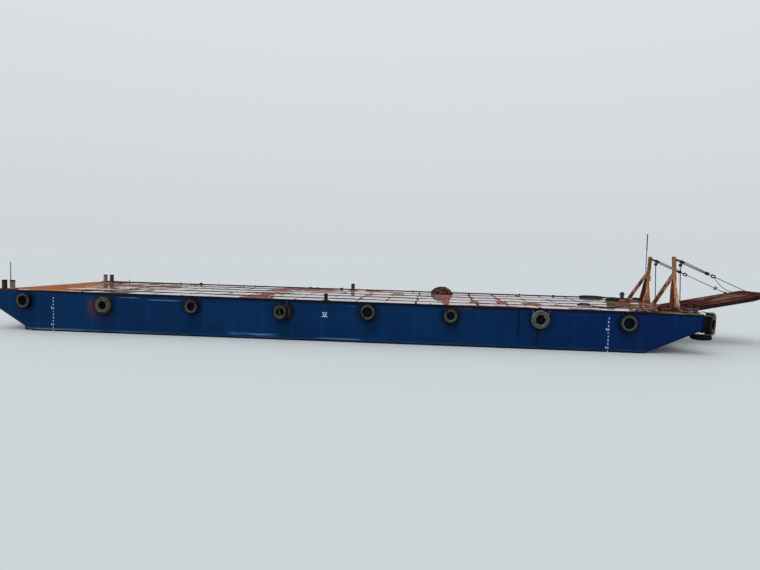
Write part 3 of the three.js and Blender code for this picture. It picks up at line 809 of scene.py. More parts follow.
# The plating sinks between its frames and stringers, and rain lies in each dish; the
# welded lines stand out of it as thin dry ridges, here broad, there drowned.
def addDeck():
    look = deckLook
    edge = barge["halfBeam"] - look["edge"]
    length = barge["halfLength"]
    alongs = np.linspace(-length, length, round(2 * length / look["step"]) + 1)
    acrosses = np.linspace(-edge, edge, round(2 * edge / look["step"]) + 1)
    x, y = np.meshgrid(alongs, acrosses, indexing="ij")
    slow = ground(x, y, 3)
    quick = ground(x, y, 8, 20, 1.6, 0.3)
    ragged = ground(x, y, 29, 24, 3.0, 0.25)
    calm = ground(x, y, 51, 12, 14, 4)
    bend = look["crooked"] * ground(x, y, 12, 10, 9, 3)
    strip = 2 * barge["halfBeam"] / look["strips"]
    lane = (y + bend) / strip - 0.5
    fromLong = np.abs(lane - np.round(lane)) * strip
    bay = (x + bend - look["frameFrom"]) / look["frame"]
    fromCross = np.abs(bay - np.round(bay)) * look["frame"]
    width = look["longLine"] * (1 + 0.25 * calm) + 0.05 * (x < -5)
    ridge = np.exp(-(fromLong / width) ** 2) * (0.9 + 0.16 * slow + 0.12 * quick)
    strong = 0.75 + 0.35 * ground(x, y, 17, 12, 5, 1.5)
    ridge = np.maximum(ridge, np.exp(-(fromCross / look["crossLine"]) ** 2) * strong)
    patch = np.zeros_like(x)
    torn = 0.35 * quick + 0.25 * ragged
    for px, py, rx, ry, amount in dryPlaces:
        far = np.maximum(((x - px) / rx) ** 2 + ((y - py) / ry) ** 2 - torn, 0)
        patch = np.maximum(patch, amount * np.exp(-far**2 * 0.6))
    ridge = np.maximum(ridge, patch)

    # Broad dry bands aft, an orange sheet of silt at the stern, and a dry margin along the port edge.
    aft = np.clip((look["bandsFrom"] - x) / look["bandsOver"], 0, 1)
    banded = np.sin((y + 0.5 + slow * 0.45) * 2 * math.pi / look["bandStep"]) * 0.5 + 0.5
    streaked = ground(x * 0.3, y * 1.4, 41, 12, 3, 0.7)
    flooded = look["floodFrom"] - look["floodSlant"] * (y + 5.5) + 0.4 * slow - x
    flooded = np.clip(flooded, 0, 1)
    ridge = np.maximum(ridge, aft * (banded * 0.72 + 0.1 * streaked + 0.05 * (y > 0)))
    ridge = np.maximum(ridge, flooded * (0.92 - 0.3 * streaked))
    margin = np.exp(-((y - edge) / (look["margin"] + 0.15 * slow)) ** 2)
    ridge = np.maximum(ridge, margin)
    for px, py, rx, ry in wetPlaces:
        ridge *= 1 - 0.95 * np.exp(-((x - px) / rx) ** 2 - ((y - py) / ry) ** 2)
    wet = 1 / (1 + np.exp((ridge - 0.5) / look["waterEdge"]))

    # Under water the mesh is the water's level, half a dish down.
    height = (np.clip(ridge, 0, 1) - 1.0) * look["dish"] - look["skin"] + 0.0015 * quick * (ridge > 0.5)
    height = np.minimum(np.where(ridge < 0.5, -0.5 * look["dish"] - look["skin"], height), 0.0)
    orange = np.clip(flooded * 1.6, 0, 1)
    rusty = np.clip((patch - 0.3) * 2.5, 0, 1) * (1 - margin)
    sand = np.clip(1.3 * np.exp(-((x + 13.6) / 1.6) ** 2 - ((y + 5.5) / 0.4) ** 2), 0, 1)
    sand = np.maximum(sand, 0.9 * np.exp(-((x - 1.9) / 2.0) ** 2 - ((y - 2.8) / 2.4) ** 2))
    sand = np.maximum(sand, np.clip((x - 18) / 3, 0, 0.4) * (0.5 + 0.5 * np.sin(y * 2.3 + slow)))
    points = np.stack([x, y, barge["deckZ"] + height], axis=-1)
    marks = {"wet": wet, "orange": orange, "sand": sand, "rusty": rusty}
    top = gridShape(points, marks=marks)
    low = barge["deckZ"] - look["thick"] + partGap
    rim = np.concatenate([points[:, 0], points[-1, 1:], points[-2::-1, -1], points[0, -2:0:-1]])
    under = rim.copy()
    under[:, 2] = low
    wall = gridShape(np.stack([rim, under], axis=0), roundV=True)
    floor = (under, [list(range(len(under)))[::-1]], {})
    shape = merge(top, wall, floor)
    addPiece("deckPlating", shape, "root", "deckSteel", ["deck_plating"], mend=False)


tyreLook = {
    "width": 0.28,
    "around": 120,
    "lugs": 30,
    "lugDepth": 0.028,
    "oval": 0.012,
    "wobble": 0.035,
}
# Side tyres: [x, z, radius, hole, hangers from its middle]
sideTyres = [
    (-18.62, 2.4, 0.48, 0.3, (0.16, 0.34)),
    (-13.48, 2.29, 0.52, 0.26, (-0.12, 0.4)),
    (-7.94, 2.42, 0.48, 0.25, (-0.2, 0.42)),
    (-2.48, 2.33, 0.48, 0.25, (0.3,)),
    (2.56, 2.47, 0.47, 0.29, (0.02,)),
    (7.26, 2.44, 0.47, 0.24, (-0.34, 0.46)),
    (12.2, 2.41, 0.51, 0.27, (-0.42, 0.5)),
    (16.9, 2.39, 0.48, 0.3, (-0.28, -0.02)),
]
tyreShadows = [(x, z, radius) for x, z, radius, _, _ in sideTyres]
doubledTyre = {"number": 3, "shift": 0.18, "squeeze": 0.01}
muddyTyre = 1
chalkyTyre = 6
bowStack = {
    "radius": 0.62,
    "hole": 0.33,
    "width": 0.21,
    "squeeze": 0.01,
    "z": 2.47,
    "turn": 37,
    "along": 0.49,
}
lowTyre = {"radius": 0.55, "hole": 0.28, "x": 20.93, "y": 5.4, "z": 1.7108}


# An old casing about the Y axis: its section runs over the tread, down a bulging wall to
# the bead and back inside. Lugs and grooves sink with the angle, and it hangs out of round.
def casing(radius, hole, width, seed):
    random = np.random.default_rng(seed)
    share = hole / radius
    half = np.array([
        (1.0, 0.0), (1.0, 0.12), (0.978, 0.15), (0.978, 0.2), (1.0, 0.23), (0.998, 0.44),
        (0.985, 0.56), (0.96, 0.7), (0.92, 0.82), (0.86, 0.93), (0.845, 0.955), (0.8, 0.995),
        (0.75, 1.0), (0.7, 0.97), (0.66, 0.93), (share + 0.1, 0.84), (share + 0.075, 0.85),
        (share + 0.03, 0.76), (share, 0.66), (share + 0.015, 0.6), (share + 0.07, 0.66),
        (0.72, 0.8), (0.82, 0.84), (0.9, 0.76), (0.94, 0.5), (0.95, 0.2),
    ])
    profile = np.concatenate([half, [[0.95, 0.0]], half[1:][::-1] * [1, -1]])
    angle = around(tyreLook["around"])[:, None]
    reach = np.repeat(profile[None, :, 0], len(angle), axis=0)
    across = np.repeat(profile[None, :, 1], len(angle), axis=0)
    tread = np.clip((reach - 0.9) / 0.05, 0, 1)
    wave = np.sin(angle * tyreLook["lugs"] + np.sign(across) * 0.9)
    cut = (wave > 0.35) * (np.abs(across) > 0.4) * tread
    worn = 0.5 + 0.5 * np.sin(angle + random.uniform(0, 6))
    r = reach - cut * tyreLook["lugDepth"] * (0.4 + 0.6 * worn)
    oval = tyreLook["oval"] * np.cos(2 * angle + random.uniform(-0.4, 0.4))
    wobble = tyreLook["wobble"] * np.sin(angle * 2 + random.uniform(0, 6))
    r = r * (1 + oval - 0.014) * radius
    slack = 1 - 0.05 * np.abs(np.sin(angle * 1.5 + 1))
    y = (across * slack + wobble * (across > 0)) * width / 2 * 0.96
    points = np.stack([r * np.sin(angle), y, r * np.cos(angle)], axis=-1)
    number = np.arange(len(profile))
    inside = (np.abs(across) < 0.9) * (number > 19) * (number < len(profile) - 18)
    wall = np.clip((share + 0.3 - reach) / 0.09, 0, 1) * (np.abs(across) > 0.62) * (1 - inside)
    shoulder = np.clip((reach - 0.84) / 0.03, 0, 1) * (1 - cut)
    marks = {"groove": cut + inside, "wall": wall, "shoulder": shoulder}
    return gridShape(points, roundU=True, roundV=True, marks=marks)


def addTyres():
    width = tyreLook["width"]
    out = barge["halfBeam"] + partGap + width / 2
    for name, side in sides:
        for number, (x, z, radius, hole, _) in enumerate(sideTyres):
            shapes = []
            layers = 2 if number == doubledTyre["number"] else 1
            for layer in range(layers):
                shift = doubledTyre["shift"] if layers == 2 and layer == 0 else 0
                y = side * (out + layer * (width - doubledTyre["squeeze"]))
                shape = casing(radius, hole, width, 10 * number + layer + (side + 1) * 50)
                shapes.append(moved(shape, lambda p, at=(x + shift, y, z): p + np.array(at)))
            finish = {muddyTyre: "muddyRubber", chalkyTyre: "chalkyRubber"}.get(number, "tyreRubber")
            node = f"tyre_{name}_{number + 1}"
            piece = f"tyre{name.title()}{number + 1}"
            addPiece(piece, merge(*shapes), "root", finish, [node], smooth=32)
        addBowTyres(name, side)


def turnAbout(axis, degrees):
    return np.array(Matrix.Rotation(math.radians(degrees), 3, axis))


# What is lashed at a bow corner is drawn along Y, turned and put at the corner.
def atCorner(side):
    turn = turnAbout("Z", side * bowStack["turn"] - 90)
    corner = np.array([barge["halfLength"], side * barge["halfBeam"], bowStack["z"]])
    return turn, corner


def addBowTyres(name, side):
    pair = []
    turn, corner = atCorner(side)
    for number in range(2):
        step = partGap + bowStack["width"] / 2 + number * (bowStack["width"] - bowStack["squeeze"])
        shape = casing(bowStack["radius"], bowStack["hole"], bowStack["width"], 70 + number + side)
        shift = [side * bowStack["along"], step, 0]
        pair.append(moved(shape, lambda p, s=shift: (p + s) @ turn.T + corner))
    flat = turnAbout("X", 90)
    place = np.array([lowTyre["x"], side * lowTyre["y"], lowTyre["z"]])
    low = casing(lowTyre["radius"], lowTyre["hole"], tyreLook["width"], 90 + side)
    low = moved(low, lambda p: p @ flat.T + place)
    for kind, shape in (("Stack", merge(*pair)), ("Low", low)):
        piece, node = f"tyre{kind}{name.title()}", f"tyre_{kind.lower()}_bow_{name}"
        addPiece(piece, shape, "root", "tyreRubber", [node], smooth=32)


# Laid rope: three strands wind round a path, so that each section turns with its length.
def ropeShape(path, radius, lay=None, pole=(0, 0, 1), count=12):
    path = np.asarray(path, float)
    step = np.linalg.norm(np.diff(path, axis=0), axis=1)
    length = np.concatenate([[0], np.cumsum(step)])
    turn = length / (lay or radius * 7) * 2 * math.pi
    angle = around(count)
    crown = np.abs(np.cos(1.5 * angle))
    size = radius * (0.86 + 0.16 * crown)
    _, first, second = frames(path, pole)
    a = angle[None] + turn[:, None]
    points = path[:, None] + size[None, :, None] * (
        np.cos(a)[..., None] * first[:, None] + np.sin(a)[..., None] * second[:, None]
    )
    shape = gridShape(points, roundV=True, marks={"crown": np.repeat(crown[None], len(path), 0)})
    last = len(path) * count
    caps = [list(range(count)), list(range(last - count, last))[::-1]]
    return shape[0], [face[::-1] for face in shape[1]] + caps, shape[2]


# Points evenly spaced on a smooth curve through the given ones (Catmull-Rom in arrays).
def smoothPath(knots, count):
    knots = np.asarray(knots, float)
    padded = np.concatenate([[2 * knots[0] - knots[1]], knots, [2 * knots[-1] - knots[-2]]])
    t = np.linspace(0, len(knots) - 1, count * 4)
    k = np.minimum(t.astype(int), len(knots) - 2)
    f = (t - k)[:, None]
    a, b, c, d = (padded[k + n] for n in range(4))
    dense = 0.5 * (2 * b + (c - a) * f + (2 * a - 5 * b + 4 * c - d) * f**2 + (3 * b - a - 3 * c + d) * f**3)
    return evenPath(dense, count)


def evenPath(dense, count):
    step = np.linalg.norm(np.diff(dense, axis=0), axis=1)
    length = np.concatenate([[0], np.cumsum(step)])
    even = np.linspace(0, length[-1], count)
    return np.stack([np.interp(even, length, dense[:, k]) for k in range(3)], axis=1)


def pathLength(path):
    return float(np.linalg.norm(np.diff(path, axis=0), axis=1).sum())


# Each tyre hangs by thin ropes: from an eye at the deck edge down over its face, through
# its hole and up behind it.
def addHangers():
    look = {
        "radius": 0.013,
        "eyeZ": 2.93,
        "eye": 0.03,
        "eyeBar": 0.008,
        "plate": (0.025, 0.03, 0.045),
        "pale": (3, 6),
    }
    face = barge["halfBeam"]
    for name, side in sides:
        shapes, pale, eyes = [], [], []
        for number, (x, z, radius, hole, hangers) in enumerate(sideTyres):
            thick = tyreLook["width"] * (2 if number == doubledTyre["number"] else 1)
            for offset in hangers:
                top = np.array([x + offset, face + look["eye"], look["eyeZ"]])
                angle = math.asin(max(-0.8, min(0.8, offset / radius)))
                rim = np.array([math.sin(angle), 0, math.cos(angle)])
                outer = np.array([x, 0, z]) + rim * (radius + look["radius"] * 1.2)
                bead = np.array([x, 0, z]) + rim * (hole - look["radius"])
                middle = np.array([x, 0, z]) + rim * (radius * 0.75)
                knots = [
                    top,
                    [outer[0], face + thick * 0.55, outer[2]],
                    [middle[0] + rim[0] * 0.06, face + thick + 0.005, middle[2] + rim[2] * 0.06],
                    [middle[0], face + thick + 0.02, middle[2]],
                    [bead[0], face + thick * 0.86, bead[2]],
                    [bead[0] - rim[0] * 0.02, face + thick * 0.5, bead[2] - rim[2] * 0.02],
                ]
                path = smoothPath(knots, 44)
                path[:, 1] *= side
                rope = ropeShape(path, look["radius"], pole=(1, 0, 0), count=9)
                (pale if number in look["pale"] else shapes).append(rope)
                ring = circle(look["eye"], 24)
                out = np.full(24, side * (face + look["eye"]))
                loop = np.stack([top[0] + ring[:, 0], out, top[2] + ring[:, 1]], axis=1)
                eyes.append(torus(loop, look["eyeBar"], (0, 1, 0)))
                halfLong, deep, halfTall = look["plate"]
                plate = np.array([
                    [top[0] - halfLong, side * face, top[2] - halfTall],
                    [top[0] + halfLong, side * (face + deep), top[2] + halfTall],
                ])
                eyes.append(box(*np.sort(plate, axis=0)))
        addPiece(f"fenderRopes{name.title()}", merge(*shapes), "root", "tarredRope")
        addPiece(f"paleRopes{name.title()}", merge(*pale), "root", "greyRope")
        addPiece(f"fenderEyes{name.title()}", merge(*eyes), "root", "darkSteel")


# A ring bar along a closed loop of points.
def torus(loop, radius, pole, count=8):
    tangent = unit(np.roll(loop, -1, 0) - np.roll(loop, 1, 0))
    first = unit(np.cross(tangent, np.asarray(pole, float)))
    second = np.cross(tangent, first)
    section = circle(radius, count)
    offset = section[None, :, 0, None] * first[:, None] + section[None, :, 1, None] * second[:, None]
    shape = gridShape(loop[:, None] + offset, roundU=True, roundV=True)
    return shape[0], [face[::-1] for face in shape[1]], shape[2]


# Rope coiled down in layers: each winds in or out, a rope's width a turn, and climbs onto
# the next. A layer is [turns, how far in from the coil's edge].
def coilPath(look):
    random = np.random.default_rng(look["seed"])
    radius = look["radius"]
    knots, angle = [], 0.0
    for layer, (turns, inset) in enumerate(look["layers"]):
        edge = look["outer"] - radius * 1.1 - inset
        middle = edge - (turns - 1) * radius * 2.14
        start, end = (edge, middle) if layer % 2 == 0 else (middle, edge)
        t = np.linspace(0, 1, turns * 30)
        a = angle + t * turns * 2 * math.pi
        height = np.full(len(t), radius + layer * radius * 1.86)
        knots.append(np.stack([start + (end - start) * t, a, height], axis=1))
        angle = a[-1] + 0.5
    reach, angle, height = np.concatenate(knots).T
    waves = sum(look["wander"] * np.sin(angle * rate + random.uniform(0, 6)) for rate in (1.0, 2.0))
    reach = reach + waves * 0.6
    (x, y), z = look["centre"], barge["deckZ"]
    return np.stack([x + reach * np.cos(angle), y + reach * np.sin(angle), z + height], axis=1)


def addCoil(node, name, look):
    dense = smoothPath(coilPath(look), 2500)
    path = evenPath(dense, int(pathLength(dense) / (look["radius"] * 0.9)))
    shape = ropeShape(path, look["radius"], count=10)
    piece = addPiece(name, shape, "root", look["finish"], [node])


coils = {
    "rope_heap": {
        "centre": (6.8, 4.0), "outer": 0.85, "radius": 0.046, "wander": 0.02, "seed": 4,
        "layers": [(6, 0.0), (6, 0.02), (5, 0.07), (4, 0.16), (4, 0.27), (3, 0.44)], "finish": "heapRope",
    },
    "rope_pile_bow": {
        "centre": (18.6, 2.6), "outer": 0.5, "radius": 0.032, "wander": 0.012, "seed": 5,
        "layers": [(4, 0.0), (3, 0.04), (3, 0.07), (2, 0.1)], "finish": "mossyRope",
    },
    "rope_coil_bow": {
        "centre": (17.2, -1.8), "outer": 0.27, "radius": 0.024, "wander": 0.002, "seed": 6,
        "layers": [(3, 0.0), (3, 0.01), (3, 0.0), (2, 0.02), (2, 0.03)], "finish": "oliveRope",
    },
}


# Mooring posts: [node, x, y, post radius, height, spread, plate, cross bar, how pale each is]
mooring = [
    ("bitts_stern_starboard", -20.22, -5.3, 0.15, 0.58, 0.27, 0.04, False, (0.1, 0.9)),
    ("bitts_stern_port", -20.22, 5.3, 0.15, 0.58, 0.27, 0.04, False, (1.0, 0.15)),
    ("bitts_bow_starboard", 20.36, -5.3, 0.13, 0.52, 0.255, 0.03, False, (0.0, 0.0)),
    ("bollard_bow_port", 20.1, 5.3, 0.14, 0.49, 0.0, 0.03, True, (0.2,)),
    ("bollard_mid_starboard", 0.02, -5.55, 0.11, 0.42, 0.0, 0.03, False, (0.0,)),
    ("bollard_mid_port", -0.03, 5.1, 0.14, 0.49, 0.0, 0.03, False, (0.1,)),
]


# Each post is a pipe with a welded top plate, a bead round its foot and a worn waist.
def addMooring():
    for node, x, y, radius, tall, spread, plate, cross, shades in mooring:
        low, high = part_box(node)
        deck = barge["deckZ"]
        foot = deck + plate
        posts = [x - spread, x + spread] if spread else [x]
        shapes = [box(np.array(low) / modelScale, [*(np.array(high) / modelScale)[:2], foot])]
        for at, pale in zip(posts, shades):
            top = deck + tall
            profile = [
                (radius + 0.02, foot - 0.005), (radius + 0.022, foot + 0.008),
                (radius + 0.004, foot + 0.022), (radius, foot + 0.04),
                (radius - 0.003, deck + tall * 0.45), (radius - 0.003, deck + tall * 0.62),
                (radius, top - 0.09), (radius, top - 0.085), (radius, top - 0.026),
                (radius + 0.012, top - 0.02), (radius + 0.012, top - 0.004),
                (radius + 0.006, top), (0.02, top + 0.001),
            ]
            points, faces, _ = turned(profile, (at, y, 0), 32)
            marks = {"cap": (points[:, 2] > top - 0.088) * 1.0, "pale": np.full(len(points), pale)}
            shapes.append((points, faces, marks))
            bolt = [(0.02, foot - 0.002), (0.02, foot + 0.012), (0.012, foot + 0.02)]
            reach = min(radius + 0.06, 0.19)
            for angle in math.pi / 4 + np.arange(4) * math.pi / 2:
                spot = (at + reach * math.cos(angle), y + reach * math.sin(angle), 0)
                shapes.append(turned(bolt, spot, 6))
        if cross:
            shapes.append(bar([x - 0.22, y, deck + 0.32], [x + 0.22, y, deck + 0.32], 0.03, 16))
        addPiece(pieceName(node), merge(*shapes), "root", "bittsPaint", [node], smooth=35)


# Poles: each part is how many sides it has, and its [radius, height over the pole's foot].
sternPole = {
    "x": -20.3,
    "y": -5.02,
    "lift": 0.0,
    "parts": [
        (14, [(0.028, 0.01), (0.026, 1.69), (0.014, 1.7)]),
        (14, [(0.055, 0), (0.055, 0.018), (0.03, 0.05), (0.022, 0.09)]),
        (14, [(0.026, 0.42), (0.028, 0.44), (0.026, 0.46)]),
    ],
}
lightMast = {
    "x": 20.73,
    "y": 2.6,
    "lift": 0.0306,
    "parts": [
        (14, [(0.026, 0.01), (0.026, 3.9694)]),
        (16, [(0.034, 3.5694), (0.034, 4.6294), (0.026, 4.6694)]),
        (14, [(0.058, 0), (0.058, 0.018), (0.03, 0.05), (0.024, 0.1)]),
        (16, [(0.04, 3.5544), (0.042, 3.5694), (0.042, 3.6294), (0.036, 3.6494)]),
    ],
    "stays": (3.9, 5.3),
}


def poleShapes(look):
    foot = (look["x"], look["y"], barge["deckZ"] + look["lift"])
    return [turned(profile, foot, count) for count, profile in look["parts"]]


def addPoles():
    shapes = poleShapes(sternPole)
    addPiece("sternPole", merge(*shapes), "root", "poleSteel", ["stern_pole"])
    shapes = poleShapes(lightMast)
    x, y = lightMast["x"], lightMast["y"]
    for z in lightMast["stays"]:
        face = postMiddle(z) + 0.1
        shapes.append(box([x - 0.02, face - 0.01, z - 0.02], [x + 0.02, y, z + 0.02]))
    addPiece("lightMast", merge(*shapes), "root", "poleSteel", ["light_mast"])


postLook = {
    "x": 20.725,
    "onDeck": 2.385,
    "lean": 0.16,
    "foot": 3.03,
    "bands": (3.85, 4.75, 5.6),
    "band": {"aft": 0.098, "fore": 0.094, "half": 0.108, "tall": 0.014},
    "boltX": (20.42, 20.93),
    "boltY": (2.2, 2.64),
    # The cleat on the port post: its plate's corners, and its horns' x and z at root and tip
    "cleat": ([20.818, 2.06, 4.5], [20.86, 2.18, 4.79]),
    "hornY": 2.12,
    "horns": [((20.85, 4.56), (20.93, 4.53)), ((20.85, 4.73), (20.93, 4.76))],
    "hornRadius": 0.03,
}


# How far from the barge's middle a leaning post is at a height.
def postMiddle(z):
    return postLook["onDeck"] - postLook["lean"] * (z - barge["deckZ"])


# The posts lean inboard; each has welded bands and bolts in its foot plate, and the port one a cleat.
def addPosts():
    look = postLook
    foot = look["foot"]
    bolt = [(0.024, foot - 0.002), (0.024, foot + 0.02), (0.014, foot + 0.026)]
    for name, side in sides:
        extras = []
        for z in look["bands"]:
            x, y, band = look["x"], side * postMiddle(z), look["band"]
            low = [x - band["aft"], y - band["half"], z]
            extras.append(box(low, [x + band["fore"], y + band["half"], z + band["tall"]]))
        for x in look["boltX"]:
            for y in look["boltY"]:
                extras.append(turned(bolt, (x, side * y, 0), 6))
        if side > 0:
            cleat = [box(*look["cleat"])]
            for root, tip in look["horns"]:
                ends = ([x, look["hornY"], z] for x, z in (root, tip))
                cleat.append(bar(*ends, look["hornRadius"]))
            addPiece("postCleat", merge(*cleat), "root", "darkSteel")
        for kind, slot, finish, bevel, more in (
            ("ramp_post", "ochre_paint", "postPaint", 0.012, extras),
            ("post_prop", "maroon_paint", "propPaint", 0.01, ()),
            ("post_brace", "ochre_paint", "bracePaint", 0.01, ()),
        ):
            softenNode(f"{kind}_{name}", "root", finish, bevel, more)


rampLook = {
    "hingeX": 21.12,
    "hingeZ": 2.78,
    "raised": 12.1,
    "beadTop": 0.09,
    "crossBeads": {"first": 1.4, "step": 1.3, "last": 5.3, "half": 1.8, "radius": 0.009},
    "longBeads": {"from": 0.2, "to": 5.4, "off": 0.62, "radius": 0.008},
}


# Points drawn along X from a pivot, tilted up about it and put in place.
def tilted(points, pivot, degrees):
    angle = math.radians(degrees)
    x, y, z = points.T
    return np.stack([
        pivot[0] + x * math.cos(angle) - z * math.sin(angle),
        pivot[1] + y,
        pivot[2] + x * math.sin(angle) + z * math.cos(angle),
    ], axis=1)


def raised(points):
    return tilted(points, (rampLook["hingeX"], 0, rampLook["hingeZ"]), rampLook["raised"])


def addRamp():
    for node, body, finish, bevel in (
        ("ramp_plate", "ramp", "rampPaint", 0.004),
        ("ramp_girder_starboard", "ramp", "girderSteel", 0.005),
        ("ramp_girder_port", "ramp", "girderSteel", 0.005),
        ("ramp_underframe", "ramp", "girderSteel", 0.004),
        ("bow_sill", "root", "girderSteel", 0.008),
    ):
        softenNode(node, body, finish, bevel)
    beads, z = [], rampLook["beadTop"]
    cross, long = rampLook["crossBeads"], rampLook["longBeads"]
    for x in np.arange(cross["first"], cross["last"], cross["step"]):
        ends = [x, -cross["half"], z], [x, cross["half"], z]
        beads.append(bar(*ends, cross["radius"], 8, (0, 0, 1)))
    for y in (-long["off"], long["off"]):
        beads.append(bar([long["from"], y, z], [long["to"], y, z], long["radius"], 8, (0, 0, 1)))
    addPiece("rampWelds", moved(merge(*beads), raised), "ramp", "rampPaint")


# The tackle's line runs from the post's eye down to the ramp's pin; distances are along it.
tackleLook = {
    "x": 20.93,
    "y": 1.92,
    "z": 5.925,
    "slope": -23.921,
    "length": 5.12676,
    "upper": 0.27,
    "lower": 1.9,
    "ring": 2.29,
    "fall": (0.29, -0.205),
    "wire": 0.022,
    # Blocks: [half length, half height, width, sheaves]
    "upperBlock": (0.15, 0.1, 0.1, 2),
    "lowerBlock": (0.13, 0.1, 0.1, 1),
    # Links of the foot, from the ring: [from, to, half width, bar radius, upright]
    "links": [(-0.29, -0.09, 0.045, 0.017, False), (-0.12, 0.12, 0.07, 0.04, True)],
    "wireLay": 0.1,
    "spliceLay": 0.12,
    "eye": 0.052,
    # The head block's sheave for the fall: [radius, along its axle]
    "sheave": [
        (0.02, -0.048), (0.1, -0.044), (0.1, -0.034), (0.07, -0.03),
        (0.07, 0.03), (0.1, 0.034), (0.1, 0.044), (0.02, 0.048),
    ],
    # The three wires between the blocks: [height at the head, height at the foot, across]
    "wires": [(0.07, 0.05, -0.02), (-0.07, -0.05, 0.0), (0.0, 0.0, 0.02)],
}


# Tackle pieces are drawn along the line from the post's eye, then laid on its slope.
def laid(y):
    return lambda points: tilted(points, (tackleLook["x"], y, tackleLook["z"]), tackleLook["slope"])


# A pulley block: two rounded cheeks, straps down both, sheaves with a groove, and a pin.
def blockShape(centre, length, cheek, wide, sheaves):
    shapes = []
    t = around(32)
    outline = np.stack([
        centre + length * np.sign(np.cos(t)) * np.abs(np.cos(t)) ** 1.15,
        cheek * np.sign(np.sin(t)) * np.abs(np.sin(t)) ** (1 / 1.55),
    ], axis=1)
    for side in (-1, 1):
        faces = sorted([side * wide / 2, side * (wide / 2 - 0.012)])
        shapes.append(slab(outline, *faces))
        strap = sorted([side * (wide / 2 - 0.002), side * (wide / 2 + 0.008)])
        reach = length * 0.96
        shapes.append(box([centre - reach, strap[0], -0.022], [centre + reach, strap[1], 0.022]))
    if sheaves > 1:
        shapes.append(slab(outline, -0.005, 0.005))
    gap = (wide - 0.024) / sheaves
    for number in range(sheaves):
        at = -wide / 2 + 0.012 + gap * (number + 0.5)
        half = gap * 0.4
        r = cheek * 0.86
        groove = [(0.02, -half), (r, -half), (r - 0.014, 0), (r, half), (0.02, half)]
        shapes.append(turned(groove, (centre, at, 0), 28, axis=1))
    shapes.append(bar([centre, -wide / 2 - 0.016, 0], [centre, wide / 2 + 0.016, 0], 0.024, 12, (0, 0, 1)))
    for end in (-1, 1):
        x = centre + end * length * 0.9
        shapes.append(bar([x, -wide / 2, 0], [x, wide / 2, 0], 0.013, 10, (0, 0, 1)))
    return merge(*shapes)


# A shackle or ring: an oval bar round the line, upright or lying across it.
def linkShape(start, end, wide, radius, upright):
    t = around(40)
    half = (end - start) / 2
    straight = np.sign(np.cos(t)) * np.minimum(1, np.abs(np.cos(t)) * 3)
    x = (start + end) / 2 + straight * (half - wide) + wide * np.cos(t)
    across = wide * np.sin(t)
    zero = np.zeros_like(t)
    loop = np.stack([x, zero, across] if upright else [x, across, zero], axis=1)
    return torus(loop, radius, (0, 1, 0) if upright else (0, 0, 1), 10)


def addTackles():
    for name, side in sides:
        y = side * tackleLook["y"]
        place = laid(y)
        tackle, pendant = f"tackle_{name}", f"pendant_{name}"
        fallX, fallZ = tackleLook["fall"]
        head = [
            blockShape(tackleLook["upper"], *tackleLook["upperBlock"]),
            bar([tackleLook["upper"], 0, -0.02], [fallX, 0, fallZ + 0.03], 0.026, 12, (0, 1, 0)),
            turned(tackleLook["sheave"], (fallX, 0, fallZ), 28, axis=1),
        ]
        for near, far in ((-0.056, -0.021), (0.021, 0.056)):
            head.append(box([-0.05, near, -0.045], [0.19, far, 0.045]))
        for near, far in ((-0.04, -0.031), (0.031, 0.04)):
            head.append(box([fallX - 0.03, near, fallZ - 0.05], [fallX + 0.03, far, fallZ + 0.1]))
        head = moved(merge(*head), place)
        foot = [blockShape(tackleLook["lower"], *tackleLook["lowerBlock"])]
        for start, end, *bars in tackleLook["links"]:
            foot.append(linkShape(tackleLook["ring"] + start, tackleLook["ring"] + end, *bars))
        foot = moved(merge(*foot), place)
        for kind, shape, body, bevel in (("head", head, tackle, 0.003), ("foot", foot, pendant, 0.002)):
            node = f"tackle_{kind}_{name}"
            addPiece(pieceName(node), shape, body, "tackleSteel", [node], bevel=bevel)
        addPendant(name, place, pendant)
        addTackleWires(name, place)
        addFall(name, y)


# The pendant runs from the ring to a thimble eye on the ramp's pin.
def addPendant(name, place, body):
    start = np.array([tackleLook["ring"] + 0.1, 0, 0])
    end = np.array([tackleLook["length"] - 0.11, 0, 0])
    wire = ropeShape(np.linspace(start, end, 240), tackleLook["wire"], lay=tackleLook["wireLay"], count=9)
    spliced = np.linspace(end - [0.28, 0, 0], end + [0.02, 0, 0], 30)
    splice = ropeShape(spliced, tackleLook["wire"] + 0.002, lay=tackleLook["spliceLay"], count=9)
    t = around(32)
    pinch = 0.6 + 0.4 * np.abs(np.sin(t / 2)) ** 0.6
    eye = np.stack([
        tackleLook["length"] - np.cos(t) * tackleLook["eye"] - 0.004,
        np.zeros_like(t),
        np.sin(t) * tackleLook["eye"] * np.where(np.cos(t) < 0, pinch, 1),
    ], axis=1)
    shape = merge(wire, splice, torus(eye, 0.017, (0, 1, 0), 10))
    addPiece(f"pendantWire{name.title()}", moved(shape, place), body, "wireSteel")


def addTackleWires(name, place):
    start, end = tackleLook["upper"], tackleLook["lower"]
    shapes = []
    for top, low, y in tackleLook["wires"]:
        path = np.linspace([start + 0.04, y, top], [end - 0.05, y * 0.5, low], 150)
        shapes.append(ropeShape(path, tackleLook["wire"], lay=tackleLook["wireLay"], count=8))
    shape, node = moved(merge(*shapes), place), f"tackle_wires_{name}"
    piece = addPiece(pieceName(node), shape, None, "wireSteel", [node])
    ends = place(np.array([[start + 0.16, 0, 0], [end - 0.14, 0, 0]])) * modelScale
    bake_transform(piece)


